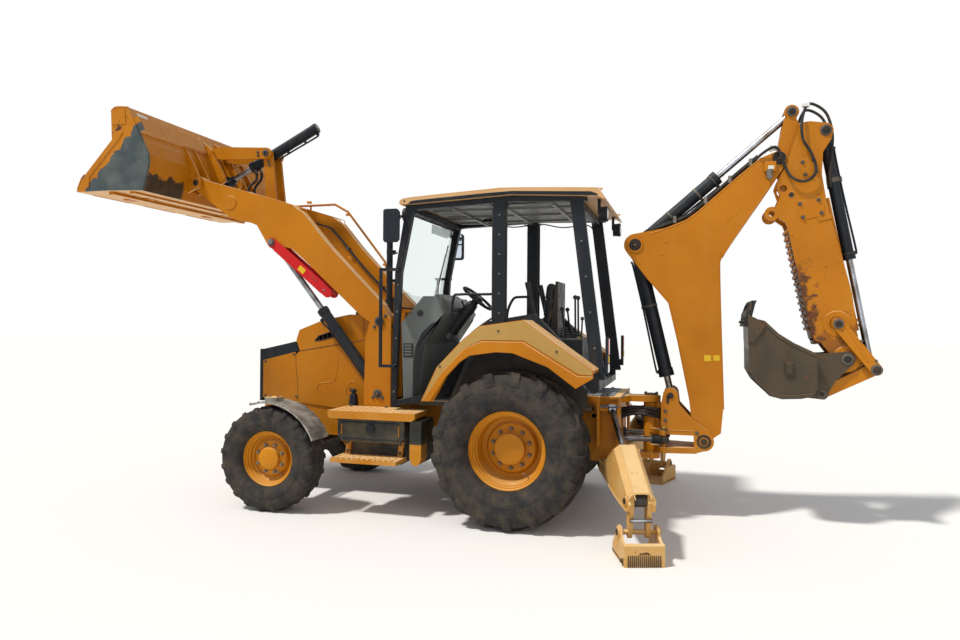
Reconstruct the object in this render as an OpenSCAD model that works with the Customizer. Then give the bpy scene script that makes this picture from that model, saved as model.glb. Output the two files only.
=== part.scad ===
// Backhoe loader with a lift-arm loader in front and an extendible backhoe behind.
// X runs rearwards, Y to the machine's right-hand side, Z up; the ground is z = 0.
// Side outlines are written as [x, z] from a point on the ground under the rear axle.

/* [Wheels] */
// outside diameter over the lugs of a rear tyre
rear_tyre_d = 1310; // [1290:5:1330]
// width of a rear tyre
rear_tyre_w = 495; // [470:5:505]
// lugs on each side of a rear tyre
rear_lug_count = 17; // [13:1:20]
// outside diameter over the tread of a front tyre
front_tyre_d = 940; // [920:5:960]
// width of a front tyre
front_tyre_w = 310; // [290:5:320]
// blocks on each side of a front tyre
front_lug_count = 18; // [14:1:22]
// height of the rear lugs above the tyre's casing
lug_height = 26; // [18:1:30]

/* [Cab] */
// side width of the rear and middle cab posts
post_w = 110; // [90:1:130]
// thickness of the roof panel
roof_edge = 52; // [40:1:64]
// thickness of the windscreen
glass_t = 6; // [4:1:10]
// width of the seat cushion
seat_w = 470; // [420:5:500]
// diameter of the steering wheel
steering_wheel_d = 360; // [320:5:400]

/* [Body] */
// teeth along the edge of each lower step
step_tooth_count = 12; // [8:1:16]
// width of the hood between its outer faces
hood_w = 650; // [620:2:660]
// thickness of body sheet parts
panel_t = 14; // [8:1:18]
// number of slats in the nose grille
slat_count = 7; // [5:1:9]
// outside diameter of the exhaust stack
exhaust_d = 64; // [50:1:76]

/* [Loader] */
// width of the loader bucket
bucket_w = 2262; // [2200:2:2300]
// thickness of the loader bucket's shell
bucket_t = 20; // [14:1:24]
// diameter of the loader lift cylinder barrels
lift_barrel_d = 100; // [86:1:104]
// diameter of the bucket tilt cylinder barrel
tilt_barrel_d = 104; // [90:1:110]
// diameter of the cross tube between the loader arms
cross_tube_d = 130; // [110:1:150]

/* [Backhoe] */
// width of the boom over its side plates
boom_w = 270; // [260:2:272]
// diameter of the boom cylinder barrel
boom_barrel_d = 120; // [100:1:124]
// diameter of the stick cylinder barrel
stick_barrel_d = 112; // [96:1:118]
// diameter of the bucket cylinder barrel
bucket_barrel_d = 94; // [80:1:100]
// width of the backhoe bucket
hoe_bucket_w = 610; // [560:5:640]
// number of teeth on the backhoe bucket
tooth_count = 5; // [3:1:6]
// number of notches down the extendible stick
notch_count = 16; // [8:1:20]

/* [Stabilisers] */
// width of a stabiliser leg
leg_w = 196; // [180:1:200]
// width of a stabiliser pad
pad_w = 290; // [276:1:310]
// teeth along the front edge of a pad
pad_tooth_count = 18; // [10:1:24]

/* [Hidden] */
rear_axle_x = 627;
front_axle_x = -2200;
rear_wheel_y = 857;
front_wheel_y = 947;
king_pin_y = 740;
gap = 0.3;
pin_play = 0.05;
hood_pin = [-1604, 1776];
roof_low = [-1060, 2782 - roof_edge / 2];
hood_y = hood_w / 2;
rail_y = hood_y - panel_t - gap;
arm_in = 365;
arm_out = 475;
arm_mid = (arm_in + arm_out) / 2;
stick_lean = 11.83;
leg_skew = 18;
leg_x = 790;
leg_y = 490;

// loader pins
pin_a = [-3380, 3100];
pin_u = [-3493, 3486];
pin_e = [-3336, 3199];
pin_t = [-2822, 3455];
pin_l = [-2760, 2841];
arm_pivot = [-1355, 1713];
lift_pin = [-2520, 2480];
lift_base = [-1370, 1035];

// backhoe pins
swing_x = 1100;
swing_barrel_y = 190;
boom_foot = [1559, 686];
boom_rod_pin = [1275, 1080];
boom_nose = [958, 2416];
stick_pivot = [2160, 3130];
stick_rod_pin = [2261, 3532];
hoe_cyl_pin = [2524, 3346];
hoe_pin = [2692, 1428];
guide_pin = [2617, 1721];
link_pin = [2905, 1345];
ear_pin = [2499, 1133];

paint = [0.80, 0.50, 0.10];
black = [0.09, 0.09, 0.10];
dark = [0.20, 0.20, 0.21];
steel = [0.55, 0.55, 0.56];
grey = [0.42, 0.43, 0.42];
rubber = [0.13, 0.13, 0.13];

$fn = 32;

// shared shapes

// everything is drawn from the rear axle and moved so the whole machine is centred
module at_axle() {
  translate([rear_axle_x, 0, 0]) children();
}

// a flat plate with the side outline pts between two widths
module slab(pts, y0, y1) {
  translate([0, y1, 0])
    rotate([90, 0, 0])
      linear_extrude(height = y1 - y0)
        polygon(pts);
}

// the same plate on both sides of the machine
module slabs(pts, y0, y1) {
  slab(pts, y0, y1);
  slab(pts, -y1, -y0);
}

module block(x0, x1, y0, y1, z0, z1) {
  translate([x0, y0, z0]) cube([x1 - x0, y1 - y0, z1 - z0]);
}

module blocks(x0, x1, y0, y1, z0, z1) {
  block(x0, x1, y0, y1, z0, z1);
  block(x0, x1, -y1, -y0, z0, z1);
}

// a round bar across the machine
module bar(p, r, y0, y1) {
  translate([p[0], y1, p[1]])
    rotate([90, 0, 0])
      cylinder(r = r, h = y1 - y0);
}

module bars(p, r, y0, y1) {
  bar(p, r, y0, y1);
  bar(p, r, -y1, -y0);
}

// a round bar in the side view from a to b at one width
module run(a, b, r, y = 0) {
  translate([a[0], y, a[1]])
    rotate([0, atan2(b[0] - a[0], b[1] - a[1]), 0])
      cylinder(r = r, h = norm(b - a));
}

module both() {
  children();
  mirror([0, 1, 0]) children();
}

function along(a, b, d) = a + (b - a) * d / norm(b - a);
function arc(c, r, a0, a1, n) =
  [for (i = [0 : n]) c + r * [cos(a0 + (a1 - a0) * i / n), sin(a0 + (a1 - a0) * i / n)]];

// outline of a link: two round ends and the straight sides between them
function link_outline(a, b, ra, rb) =
  let (t = atan2(b[1] - a[1], b[0] - a[0]), f = acos((ra - rb) / norm(b - a)))
  concat(arc(a, ra, t + f, t + 360 - f, 10), arc(b, rb, t - f, t + f, 10));

// wheels

// casing of a tyre, turned about the local Z axis
module casing(r, w, bead) {
  h = w / 2;
  rotate_extrude($fn = 48)
    polygon([[bead, -h * 0.62], [bead + 30, -h * 0.86], [(bead + r) / 2, -h], [r - 44, -h * 0.94],
      [r, -h * 0.72], [r, h * 0.72], [r - 44, h * 0.94],
      [(bead + r) / 2, h], [bead + 30, h * 0.86], [bead, h * 0.62]]);
}

// one lug lying slantwise over the tread and down onto the shoulder of radius r
module lug(r, w, lean, thick) {
  span = (lean + 1.7 * thick) / 2;
  rotate([0, 90, 0])
    translate([0, thick * 0.7 - span, r - 100])
      linear_extrude(height = sqrt(r * r - span * span) - r + 100)
        polygon([[-w * 0.03, -thick * 0.7], [-w * 0.03, thick * 0.4], [-w * 0.49, lean + thick],
          [-w * 0.49, lean]]);
}

module tyre(x, y, z, d, w, bead, lug_h, count, lean, thick, side) {
  color(rubber)
    translate([x, side * y, z])
      rotate([90, 0, 0]) {
        casing(d / 2 - lug_h, w, bead);
        for (i = [0 : count - 1]) {
          rotate([0, 0, 360 * (i + 0.2) / count]) lug(d / 2, w, lean, thick);
          rotate([0, 0, 360 * (i + 0.7) / count])
            mirror([0, 0, 1])
              lug(d / 2, w, lean, thick);
        }
      }
}

module front_tyre(side) {
  tyre(front_axle_x, front_wheel_y, 470, front_tyre_d, front_tyre_w, 250, 14,
    front_lug_count, 34, 58, side);
}

module rear_tyre(side) {
  tyre(0, rear_wheel_y, 655, rear_tyre_d, rear_tyre_w, 330, lug_height, rear_lug_count, 110, 58,
    side);
}

// a dished wheel turned about the local Z axis, its open side towards +Z
module wheel_dish(bead, w, hub_r, disc_z, hub_z, nuts, nut_r) {
  h = w * 0.31;
  rotate_extrude($fn = 48)
    polygon([[hub_r, disc_z - 30], [hub_r + 30, disc_z - 30], [bead * 0.72, disc_z - 66],
      [bead - 46, disc_z - 50], [bead - 34, -h], [bead - gap, -h], [bead - gap, h],
      [bead - 22, h], [bead - 34, h - 16], [bead - 34, disc_z], [bead * 0.72, disc_z - 46],
      [hub_r + 36, disc_z], [hub_r, disc_z]]);
  translate([0, 0, disc_z - 30]) cylinder(r = hub_r + 2, h = hub_z - disc_z + 18);
  translate([0, 0, disc_z - 30]) cylinder(r = hub_r * 0.66, h = hub_z - disc_z + 30);
  for (i = [0 : nuts - 1])
    rotate([0, 0, 360 * i / nuts])
      translate([nut_r, 0, disc_z - 4])
        cylinder(r = 15, h = 22, $fn = 6);
}

module front_rim(side) {
  color(paint)
    translate([front_axle_x, side * front_wheel_y, 470])
      rotate([-90 * side, 0, 0])
        wheel_dish(250, front_tyre_w, 78, 40, 92, 8, 104);
}

module rear_rim(side) {
  color(paint)
    translate([0, side * rear_wheel_y, 655])
      rotate([-90 * side, 0, 0])
        wheel_dish(330, rear_tyre_w, 100, -20, 62, 10, 138);
}

// frame and running gear

module chassis() {
  color(paint) {
    slabs([[-2690, 610], [-2690, 900], [-1520, 900], [-1480, 960], [476, 960], [476, 560],
      [170, 560], [140, 760 + gap], [-140, 760 + gap], [-170, 560]], 262, rail_y);
    block(-2250, -2150, -262, 262, 590 + gap, 680);
    block(-2690, -2590, -rail_y, rail_y, 600, 880);
    block(-2130, -2050, -262, 262, 620, 720);
    block(-1360, -1280, -262, 262, 620, 720);
    block(-420, -340, -262, 262, 620, 720);
    difference() {
      block(452, 476, -425, 425, 540, 985);
      for (y = [-swing_barrel_y, swing_barrel_y])
        translate([440, y, 690]) rotate([0, 90, 0]) cylinder(r = 44 + gap, h = 50);
    }
    rear_frame();
    swing_ears();
  }
  color(paint) both() stabiliser_mount();
}

tie_down = [638, 905];
tie_down_r = 20;

module rear_frame() {
  difference() {
    slabs([[452, 530], [452, 1062], [840, 1062], [840, 514], [560, 514]], 400, 425);
    bars(tie_down, tie_down_r + 6, 390, 430);
  }
  difference() {
    bars(tie_down, 44, 425 + gap, 440);
    bars(tie_down, tie_down_r, 420, 450);
  }
  block(452, 864, -425, 425, 1054, 1074);
  block(560, 840, -425, 425, 514, 534);
  difference() {
    block(800, 840, -425, 425, 514, 1074);
    blocks(790, 850, 130, 250, 630, 750);
    block(790, 850, -90, 90, 640, 940);
  }
}

// tongues that hold the backhoe's upright pin
module swing_ears() {
  for (z = [498, 1006])
    translate([0, 0, z])
      linear_extrude(height = 54)
        polygon(concat([[800, -300], [860, -230], [925, -84]],
          arc([swing_x, 0], 84, -90, 90, 14), [[925, 84], [860, 230], [800, 300]]));
  translate([swing_x, 0, 498]) cylinder(r = 40, h = 570);
}

// the upright channel for a stabiliser's cylinder and the ear its leg hangs on, near side at +Y
module stabiliser_mount() {
  block(685, 705, 424, 600, 665, 1074);
  block(848, 868, 424, 560, 665, 1000);
  block(848, 868, 424, 510, 999, 1074);
  block(685, 868, 424, 440, 1054, 1074);
  translate([leg_x, leg_y, 0])
    rotate([0, 0, 90 - leg_skew]) {
      translate([-110, -60, 462]) cube([110, 120, 76]);
      translate([0, 60, 500]) rotate([90, 0, 0]) cylinder(r = 38, h = 120);
      translate([0, 93, 500]) rotate([90, 0, 0]) cylinder(r = 20, h = 186);
      bar(leg_top_pin, 20, -64, -33);
      bar(leg_top_pin, 20, 33, 104);
    }
}

module axles() {
  color(dark) {
    translate([0, 610, 655]) rotate([90, 0, 0]) cylinder(r = 105, h = 1220);
    translate([0, 0, 655]) sphere(r = 215, $fn = 36);
    translate([0, 261.7, 655]) rotate([90, 0, 0]) cylinder(r = 150, h = 523.4);
    both()
      translate([0, rear_wheel_y - 50 - gap, 655]) rotate([90, 0, 0]) cylinder(r = 98, h = 210);
    slab([[-2290, 470], [-2270, 400], [-2130, 400], [-2110, 470], [-2120, 545], [-2150, 590],
      [-2250, 590], [-2280, 545]], -230, 230);
    slab([[-2265, 425], [-2135, 425], [-2135, 520], [-2265, 520]], -660, 660);
    both() {
      for (z = [340, 568]) {
        block(-2262, -2138, 640, 715, z, z + 32);
        translate([front_axle_x, king_pin_y, z]) cylinder(r = 46, h = 32);
      }
      block(-2262, -2138, 640, 672, 340, 600);
      translate([front_axle_x, king_pin_y, 340]) cylinder(r = 26, h = 260);
    }
  }
}

// swivel block, stub axle and the plastic mudguard over the wheel
module knuckle(side) {
  color(dark)
    translate([front_axle_x, 0, 0])
      scale([1, side, 1]) {
        difference() {
          translate([0, king_pin_y, 378]) cylinder(r = 52, h = 184);
          translate([0, king_pin_y, 370]) cylinder(r = 26 + pin_play, h = 200);
        }
        translate([0, 860, 470]) rotate([90, 0, 0]) cylinder(r = 44, h = 80);
        translate([0, front_wheel_y + 10 - gap, 470]) rotate([90, 0, 0]) cylinder(r = 66, h = 110);
        block(-46, 46, 791, 815, 430, 624);
      }
  color(grey) translate([front_axle_x, 0, 470]) scale([1, side, 1]) mudguard();
}

module mudguard() {
  r = front_tyre_d / 2 + 32;
  outer = arc([0, 0], r + 14, 22, 108, 12);
  inner = arc([0, 0], r, 108, 22, 12);
  slab(concat(outer, inner), 800, 1095);
  slab([[-60, r], [-60, r + 43], [60, r + 43], [60, r + 6]], 880, 1000);
  block(-36, 36, 763, 815, 136, 154);
  block(-36, 36, 763, 787, 136, r + 10);
  block(-36, 36, 763, 820, r - 10, r + 10);
}

module engine_block() {
  color(dark) {
    block(-2560, -1700, -210, 210, 720 + gap, 1280);
    block(-1700 + gap, -1150, -190, 190, 720 + gap, 940);
  }
}

// hood

module hood_sides() {
  color(paint) {
    slabs([[-2338, 907], [-2338, 1372], [-2305, 1405], [-1600, 1524], [-1600, 1560],
      [-1540, 1640], [-1540, 830]], hood_y - panel_t, hood_y);
    slabs([[-2705.7, 941], [-2705.7, 1313.8], [-2338.3, 1402.6], [-2338.3, 907]],
      hood_y - panel_t, hood_y);
    slab([[-1598, 1540], [-1598, 1778], [-1180, 1800], [-1180, 1560]], -hood_y, hood_y);
    slabs([[-1541, 900], [-1541, 1640], [-1200, 1640], [-1200, 1000]], hood_y - panel_t, hood_y);
    bars(hood_pin, 7, 200, 240);
    blocks(hood_pin[0], -1597, 200, 240, 1769, 1783);
  }
}

module nose_grille() {
  color(black) {
    difference() {
      block(-2742, -2706, -hood_y, hood_y, 905, 1425);
      block(-2750, -2700, 50 - hood_y, hood_y - 50, 960, 1380);
    }
    for (i = [0 : slat_count - 1])
      block(-2736, -2722, 48 - hood_y, hood_y - 48, 975 + i * 400 / slat_count,
        1000 + i * 400 / slat_count);
    block(-2722, -2712, 48 - hood_y, hood_y - 48, 958, 1382);
    slabs([[-2706, 1314], [-2706, 1425], [-2342, 1506], [-2301, 1416], [-2342, 1402]],
      hood_y - panel_t - gap, hood_y);
    slab([[-2706, 1410], [-2706, 1425], [-2342, 1506], [-2342, 1490]], -hood_y, hood_y);
  }
}

module hood_lid() {
  color(paint) {
    difference() {
      slab([[-2292, 1415], [-1604, 1530], [-1604, 1776], [-1759, 1776],
        [-2048, 1718], [-2300, 1621], [-2334, 1520]], -hood_y, hood_y);
      slab([[-2277, 1300], [-2277, 1420], [-2318, 1530], [-2286, 1602], [-2044, 1701], [-1757, 1760],
        [-1590, 1760], [-1590, 1400]], panel_t - hood_y, hood_y - panel_t);
      slabs([[-2129, 1514], [-2086, 1564], [-1923, 1615], [-1858, 1590], [-1900, 1560],
        [-2060, 1520]], hood_y - 2 * panel_t, hood_y + 1);
      bars(hood_pin, 7 + pin_play, 199.7, 240.3);
    }
  }
}

module exhaust() {
  color(dark) {
    translate([-1550, 175, 1900]) cylinder(d = exhaust_d, h = 781);
    translate([-1550, 175, 1783.5]) cylinder(d = exhaust_d + 24, h = 158);
    translate([-1554, 175, 2650]) rotate([0, 28, 0]) cylinder(d = exhaust_d - 3, h = 96);
  }
}

// loader frame, tanks and steps

module loader_tower() {
  color(paint) {
    for (y = [[335, 355], [485, 505]])
      slabs([[-1518, 700], [-1500, 1560], [-1440, 1772], [-1300, 1790], [-1243, 1740],
        [-1243, 700]], y[0], y[1]);
    slabs([[-1263, 700], [-1263, 1640], [-1243, 1640], [-1243, 700]], 340, 500);
    slabs([[-1518, 700], [-1518, 730], [-1243, 730], [-1243, 700]], rail_y + gap, 505);
    bars(arm_pivot, 34, 325, 520);
    bars(lift_base, 30, 330, 512);
    slabs([[-1480, 760], [-1480, 890], [-1300, 890], [-1300, 760]], rail_y + gap, 340);
  }
}

module tank_steps() {
  color(black) {
    slabs([[-1600, 700], [-1560, 640], [-1000, 640], [-960, 680], [-960, 846], [-1600, 846]],
      520, 860);
    slabs([[-1520, 460], [-1520, 650], [-1000, 650], [-1000, 460], [-1040, 430], [-1480, 430]],
      520, 730);
    slabs([[-1500, 650], [-1500, 700], [-1300, 700], [-1300, 650]], rail_y + gap, 522);
    slabs([[-1100, 650], [-1100, 850], [-1000, 850], [-1000, 650]], rail_y + gap, 522);
  }
  color(paint) {
    slabs([[-1670, 866], [-1650, 846], [-870, 846], [-840, 870], [-840, 915], [-1670, 915]],
      520, 920);
    for (x = [-1570, -1060])
      slabs([[x, 520], [x + 20, 640], [x + 60, 640], [x + 40, 470], [x, 470]], 740, 770);
    slabs([[-1604, 470], [-1604, 506], [-980, 506], [-980, 470]], 740, 1000);
    for (i = [0 : step_tooth_count - 1])
      blocks(-1590 + i * 600 / step_tooth_count, -1568 + i * 600 / step_tooth_count, 984, 1000,
        500, 518);
  }
  color(black)
    slabs([[-900, 520], [-900, 846 - gap], [-794, 846 - gap], [-794, 520], [-815, 470],
      [-850, 457], [-880, 470]], 560, 880);
}

// cab

// one leaning post of the cab between two side points
module post(low, high, w, y0, y1) {
  slabs([[low[0] - w / 2, low[1]], [high[0] - w / 2, high[1]], [high[0] + w / 2, high[1]],
    [low[0] + w / 2, low[1]]], y0, y1);
}

module cab_frame() {
  color(paint) {
    slabs([[-1151, 983], [-1113, 983], [-1060, 2150], [-940, 2745], [-1020, 2745],
      [-1120, 2151]], 655, 710);
    post([-150, 1700], [-150, 2760], post_w, 660, 715);
    post([708, 1240], [511, 2760], post_w, 655, 700);
    slabs([[-1020, 2700], [-1020, roof_low[1] - 1], [-900, 2812 - roof_edge - gap],
      [-33, 2857 - roof_edge - gap], [600, 2820 - roof_edge], [600, 2735], [-33, 2752],
      [-900, 2716]], 640, 710);
    slab([[-1000, 2690], [-1000, 2750], [-945, 2750], [-945, 2690]], -655, 655);
    slab([[490, 2700], [490, 2762], [545, 2762], [545, 2700]], -655, 655);
    slabs([[-1151, 940], [-1151, 990], [-700, 1095], [-640, 1160], [-500, 1500],
      [-250, 1720], [160, 1790], [690, 1260], [711, 1235], [711, 1140], [660, 1120], [120, 1700],
      [-200, 1650], [-430, 1450], [-600, 1100], [-700, 1040]], 640 + gap, 700);
    slab([[660, 1140], [660, 1200], [711, 1200], [711, 1140]], -652, 652);
  }
  color(black) {
    slabs([[-1130, 2640], [-1130, 2655], [-1030, 2655], [-1030, 2640]], 709, 940);
    slabs([[-1135, 2677], [-1120, 2690], [-1010, 2690], [-989, 2670], [-989, 2420], [-1010, 2400],
      [-1120, 2400], [-1135, 2420]], 930, 950);
    slabs([[-1246, 1300], [-1246, 2190], [-1222, 2190], [-1222, 1300]], 750, 774);
    slabs([[-1246, 2166], [-1246, 2190], [-1070, 2190], [-1070, 2166]], 705, 774);
    slabs([[-1246, 1300], [-1246, 1324], [-1090, 1324], [-1090, 1300]], 705, 774);
  }
}

module roof() {
  color(paint) {
    slabs([[-1066, 2797 - roof_edge / 2], [-1040, 2806], [-915, 2821], [-271, 2859], [-33, 2865],
      [676, 2834], [718, 2812], [760, 2740], [740, 2740], [700, 2792 - roof_edge / 2],
      [-33, 2857 - roof_edge], [-900, 2812 - roof_edge], roof_low], 0, 760);
  }
}

module windscreen() {
  color([0.6, 0.7, 0.7, 0.35])
    slab([[-1136, 1830], [-1112, 2151], [-1003, 2688], [-1003 + glass_t, 2688],
      [-1112 + glass_t, 2151], [-1136 + glass_t, 1830]], gap - 655, 655 - gap);
}

module cab_floor() {
  color(dark) {
    block(-1150, -640, -640, 640, 962, 992);
    block(-641, 447, -600, 600, 962, 992);
    blocks(440, 640, 430, 600, 962, 992);
    slabs([[-640, 990], [-560, 1180], [-400, 1420], [-150, 1580], [160, 1600], [420, 1440],
      [600, 1120], [600, 990]], 560, 592);
    block(-260, 260, -210, 210, 992, 1480);
    slabs([[-300, 1600], [-300, 1650], [180, 1650], [180, 1600]], 255, 320);
    slab([[-300, 1480], [-300, 1520], [180, 1520], [180, 1480]], -320, 320);
    slabs([[-80, 1515], [-80, 1602], [-20, 1602], [-20, 1515]], 285, 320);
    slab([[190, 1500], [250, 2090], [272, 2090], [270, 1480], [170, 1480]], -200, 200);
  }
}

module seat_cushions() {
  color(rubber) {
    slab([[-270, 1520 + gap], [-290, 1560], [-270, 1610], [100, 1600], [130, 1520 + gap]], -seat_w / 2,
      seat_w / 2);
    slab([[112, 1612], [195.7, 1560], [248.6, 2080], [200, 2090], [150, 2040]], -seat_w / 2,
      seat_w / 2);
  }
}

module dash() {
  color(grey) {
    slab([[-1108, 992 + gap], [-1130, 1700], [-919, 1947], [-822, 1947], [-720, 1790], [-900, 1500],
      [-960, 992 + gap]], -520, 520);
    block(-958, -560, 380, 520, 992 + gap, 1500);
  }
  color(black) {
    run([-860, 1560], [-549, 1942], 36);
    translate([-549, 0, 1942])
      rotate([0, 39, 0]) {
        rotate_extrude($fn = 40) translate([steering_wheel_d / 2 - 14, 0]) circle(r = 14, $fn = 16);
        for (a = [90, 210, 330])
          rotate([0, 0, a])
            translate([0, -12, -8])
              cube([steering_wheel_d / 2 - 14, 24, 14]);
        cylinder(r = 40, h = 30, center = true);
      }
  }
  color(black) {
    block(290, 446, -330, 330, 992 + gap, 1560);
    block(440, 520, -330, 330, 1074 + gap, 1560);
    for (y = [-150, 150]) {
      run([340, 1550], [304, 1831], 9, y);
      run([420, 1550], [414, 1942], 9, y * 0.6);
    }
  }
}

module rear_fenders() {
  color(paint) {
    slabs([[-728, 1045], [-590, 1333], [-360, 1572], [-219, 1680], [142, 1732], [711, 1332],
      [711, 1310], [134, 1712], [-210, 1661], [-346, 1558], [-572, 1322], [-708, 1045]],
      700 + gap, 1070);
    slabs([[-708, 1045], [-728, 1045], [-590, 1333], [-360, 1572], [-219, 1680], [142, 1732],
      [711, 1332], [711, 1273], [576, 1190], [349, 1356], [62, 1462], [-78, 1467], [-302, 1435],
      [-388, 1378], [-500, 1260], [-620, 1045]], 1056, 1070);
  }
}

// rear face of the rear cab post at a height
function post_back(z) = 715 - 204 * (z - 1187) / 1573 + post_w / 2 + gap;

module lamps() {
  color(black) {
    for (y = [-560, 560]) {
      translate([-1092, y, roof_low[1] - 66]) rotate([0, 90, 0]) cylinder(r = 62, h = 66);
      translate([690, y, 2640]) rotate([0, 90, 0]) cylinder(r = 62, h = 70);
      block(-1060, -1030, y - 20, y + 20, roof_low[1] - 40, roof_low[1] - gap);
      block(676, 699, y - 20, y + 20, 2640, 2792 - roof_edge / 2 - gap);
    }
    blocks(765, 788, 640, 720, 1290, 1590);
    slabs([[post_back(1290), 1290], [770, 1290], [770, 1350], [post_back(1350), 1350]], 665, 695);
  }
}

// loader

guard_rail = [[-2870, 2950], [-2790, 2982], [-2305, 2985], [-2149, 2899], [-1709, 2349],
  [-1668, 2170]];

module loader_arms() {
  color(paint) {
    difference() {
      slabs(concat(arc(pin_a, 72, 234, 54, 12), [[-3322, 3134], [-2319, 2847], [-2194, 2759],
        [-1890, 2413], [-1337, 1866], [-1275, 1760]], arc(arm_pivot, 84, 10, -150, 10),
        [[-1572, 1775], [-2185, 2320], [-2388, 2470], [-2560, 2600], [-2782, 2690],
        [-2931, 2714], [-3030, 2757]]), arm_in, arm_out);
      bars(arm_pivot, 34 + pin_play, arm_in - 5, arm_out + 5);
      slabs([[-2600, 2380], [-2590, 2560], [-2540, 2595], [-2440, 2605], [-2400, 2560],
        [-2390, 2380]], arm_mid - 36, arm_mid + 36);
    }
    for (y = [[365, 385], [455, 475]])
      slabs(concat([[-2700, 2660]], arc(lift_pin, 56, 215, 330, 8), [[-2330, 2420],
        [-2400, 2560]]), y[0], y[1]);
    bar([-3002, 2889], cross_tube_d / 2, -arm_in, arm_in);
    bars([-3002, 2889], cross_tube_d / 2, arm_out, arm_out + 8);
    bar(pin_l, 34, -arm_in, arm_in);
    bars(pin_a, 30, 330, 512);
    bars(lift_pin, 24, 340, arm_mid - 35);
    bars(lift_pin, 24, arm_mid + 35, 495);
    for (i = [0 : len(guard_rail) - 2])
      run(guard_rail[i], guard_rail[i + 1], 13, arm_mid, $fn = 8);
    run([-2600, 2900], [-2600, 2985], 11, arm_mid, $fn = 8);
  }
}

module lock_strut() {
  far = along(lift_pin, [-1915, 1985], 790);
  outline = link_outline(lift_pin, far, 44, 44);
  color([0.75, 0.06, 0.04]) {
    difference() {
      slab(outline, -492, -480);
      bar(lift_pin, 24 + pin_play, -500, -470);
    }
    difference() {
      slab(outline, -360, -348);
      bar(lift_pin, 24 + pin_play, -365, -345);
    }
    slab([far + [10, 34], far + [44, -10], far + [34, -20], far + [0, 24]], -490, -350);
  }
}

module loader_bucket() {
  h = bucket_w / 2;
  color(paint) {
    slab([[-4248, 2953], [-3502, 2921], [-3472, 3021], [-3462, 3173], [-3462, 3267],
      [-3507, 3392], [-3564, 3508], [-3668, 3713], [-3805, 3723], [-3805, 3723 - bucket_t],
      [-3684, 3713 - bucket_t], [-3584, 3500], [-3527, 3384], [-3484, 3262], [-3484, 3175],
      [-3494, 3028], [-3518, 2942], [-4245, 2973]], -h, h);
    slabs([[-4248, 2953], [-4182, 3087], [-4099, 3093], [-3847, 3347], [-3862, 3689],
      [-3805, 3723], [-3668, 3713], [-3564, 3508], [-3507, 3392], [-3439, 3267], [-3431, 3173],
      [-3469, 3021], [-3502, 2921]], h - 24, h);
    difference() {
      for (y = [[arm_in - 32, arm_in - 12], [arm_out + 12, arm_out + 32]])
        slabs(concat([[-3640, 3620], [-3560, 3540], [-3335, 3150]], arc(pin_a, 60, 20, -100, 6),
          [[-3480, 3000]]), y[0], y[1]);
      bars(pin_a, 30 + pin_play, arm_in - 40, arm_out + 40);
    }
    slabs(concat([[-3690, 3700], [-3560, 3600]], arc(pin_u, 50, 60, -10, 4),
      arc(pin_e, 48, 30, -90, 6), [[-3470, 3060], [-3466, 3267]]), 135, 160);
    bars(pin_u, 22, 135, 166);
    bars(pin_e, 22, 135, 166);
    block(-4254, -3700, -h, h, 2936, 2954);
    slabs([[-3560, 3466], [-3498, 3488], [-3562, 3622], [-3626, 3600]], 170, h - 10);
    slabs([[-4150, 2975], [-4110, 2975], [-4098, 3085], [-3756, 3432], [-3722, 3484],
      [-3752, 3500], [-3806, 3452], [-4136, 3112]], h, h + 8);
    slabs([[-3848, 3700], [-3700, 3700], [-3690, 3560], [-3852, 3560]], h, h + 6);
    for (x = [-3900, -3660])
      block(x - 30, x + 30, -h + 60, h - 60, 2908, 2954);
  }
}

module tilt_lever() {
  color(paint) {
    difference() {
      union() {
        slabs(link_outline(pin_l, pin_t, 62, 52), 65, 95);
        bar(pin_l, 56, -95, 95);
      }
      bar(pin_l, 34 + pin_play, -120, 120);
    }
    bars(pin_t, 24, 53 + gap, 136);
  }
}

module tilt_link() {
  color(paint)
    difference() {
      union() {
        slabs(concat(arc(pin_u, 45, 270, 90, 8), [pin_u + [150, 62], pin_t + [-80, 62]],
          arc(pin_t, 58, 80, -90, 8), [pin_u + [150, -72]]), 104, 128);
        bar(pin_u, 22, -129, 129);
      }
      bars(pin_t, 24 + pin_play, 90, 150);
    }
}

tilt_gland = along(pin_t, pin_e, 275);
tilt_end = along(pin_t, pin_e, -585);

module tilt_barrel() {
  color(black)
    difference() {
      union() {
        run(tilt_end, tilt_gland, tilt_barrel_d / 2);
        run(along(tilt_gland, tilt_end, 50), tilt_gland, tilt_barrel_d / 2 + 5);
        bar(pin_t, 38, -53, 53);
      }
      run(along(tilt_gland, tilt_end, 725), along(tilt_gland, tilt_end, -10), 28.05);
    }
}

module tilt_rod() {
  color(steel) {
    run(along(pin_t, pin_e, -190), along(pin_e, pin_t, 30), 28);
    bar(pin_e, 38, -44, 44);
    bar(pin_e, 22, -98, 98);
  }
}

lift_gland = along(lift_base, lift_pin, 1010);

module lift_barrels() {
  color(black)
    both()
      difference() {
        union() {
          run(along(lift_base, lift_pin, 40), lift_gland, lift_barrel_d / 2, arm_mid);
          run(along(lift_gland, lift_base, 60), lift_gland, lift_barrel_d / 2 + 4, arm_mid);
          bar(lift_base, 56, arm_mid - 50, arm_mid + 50);
        }
        bar(lift_base, 30 + pin_play, arm_mid - 60, arm_mid + 60);
        run(along(lift_base, lift_pin, 130), along(lift_gland, lift_base, -10), 27.05, arm_mid);
      }
}

module lift_rods() {
  color(steel)
    both() {
      run(along(lift_base, lift_pin, 820), along(lift_pin, lift_base, 34), 27, arm_mid);
      bar(lift_pin, 42, arm_mid - 30, arm_mid + 30);
    }
}

// backhoe

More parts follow.
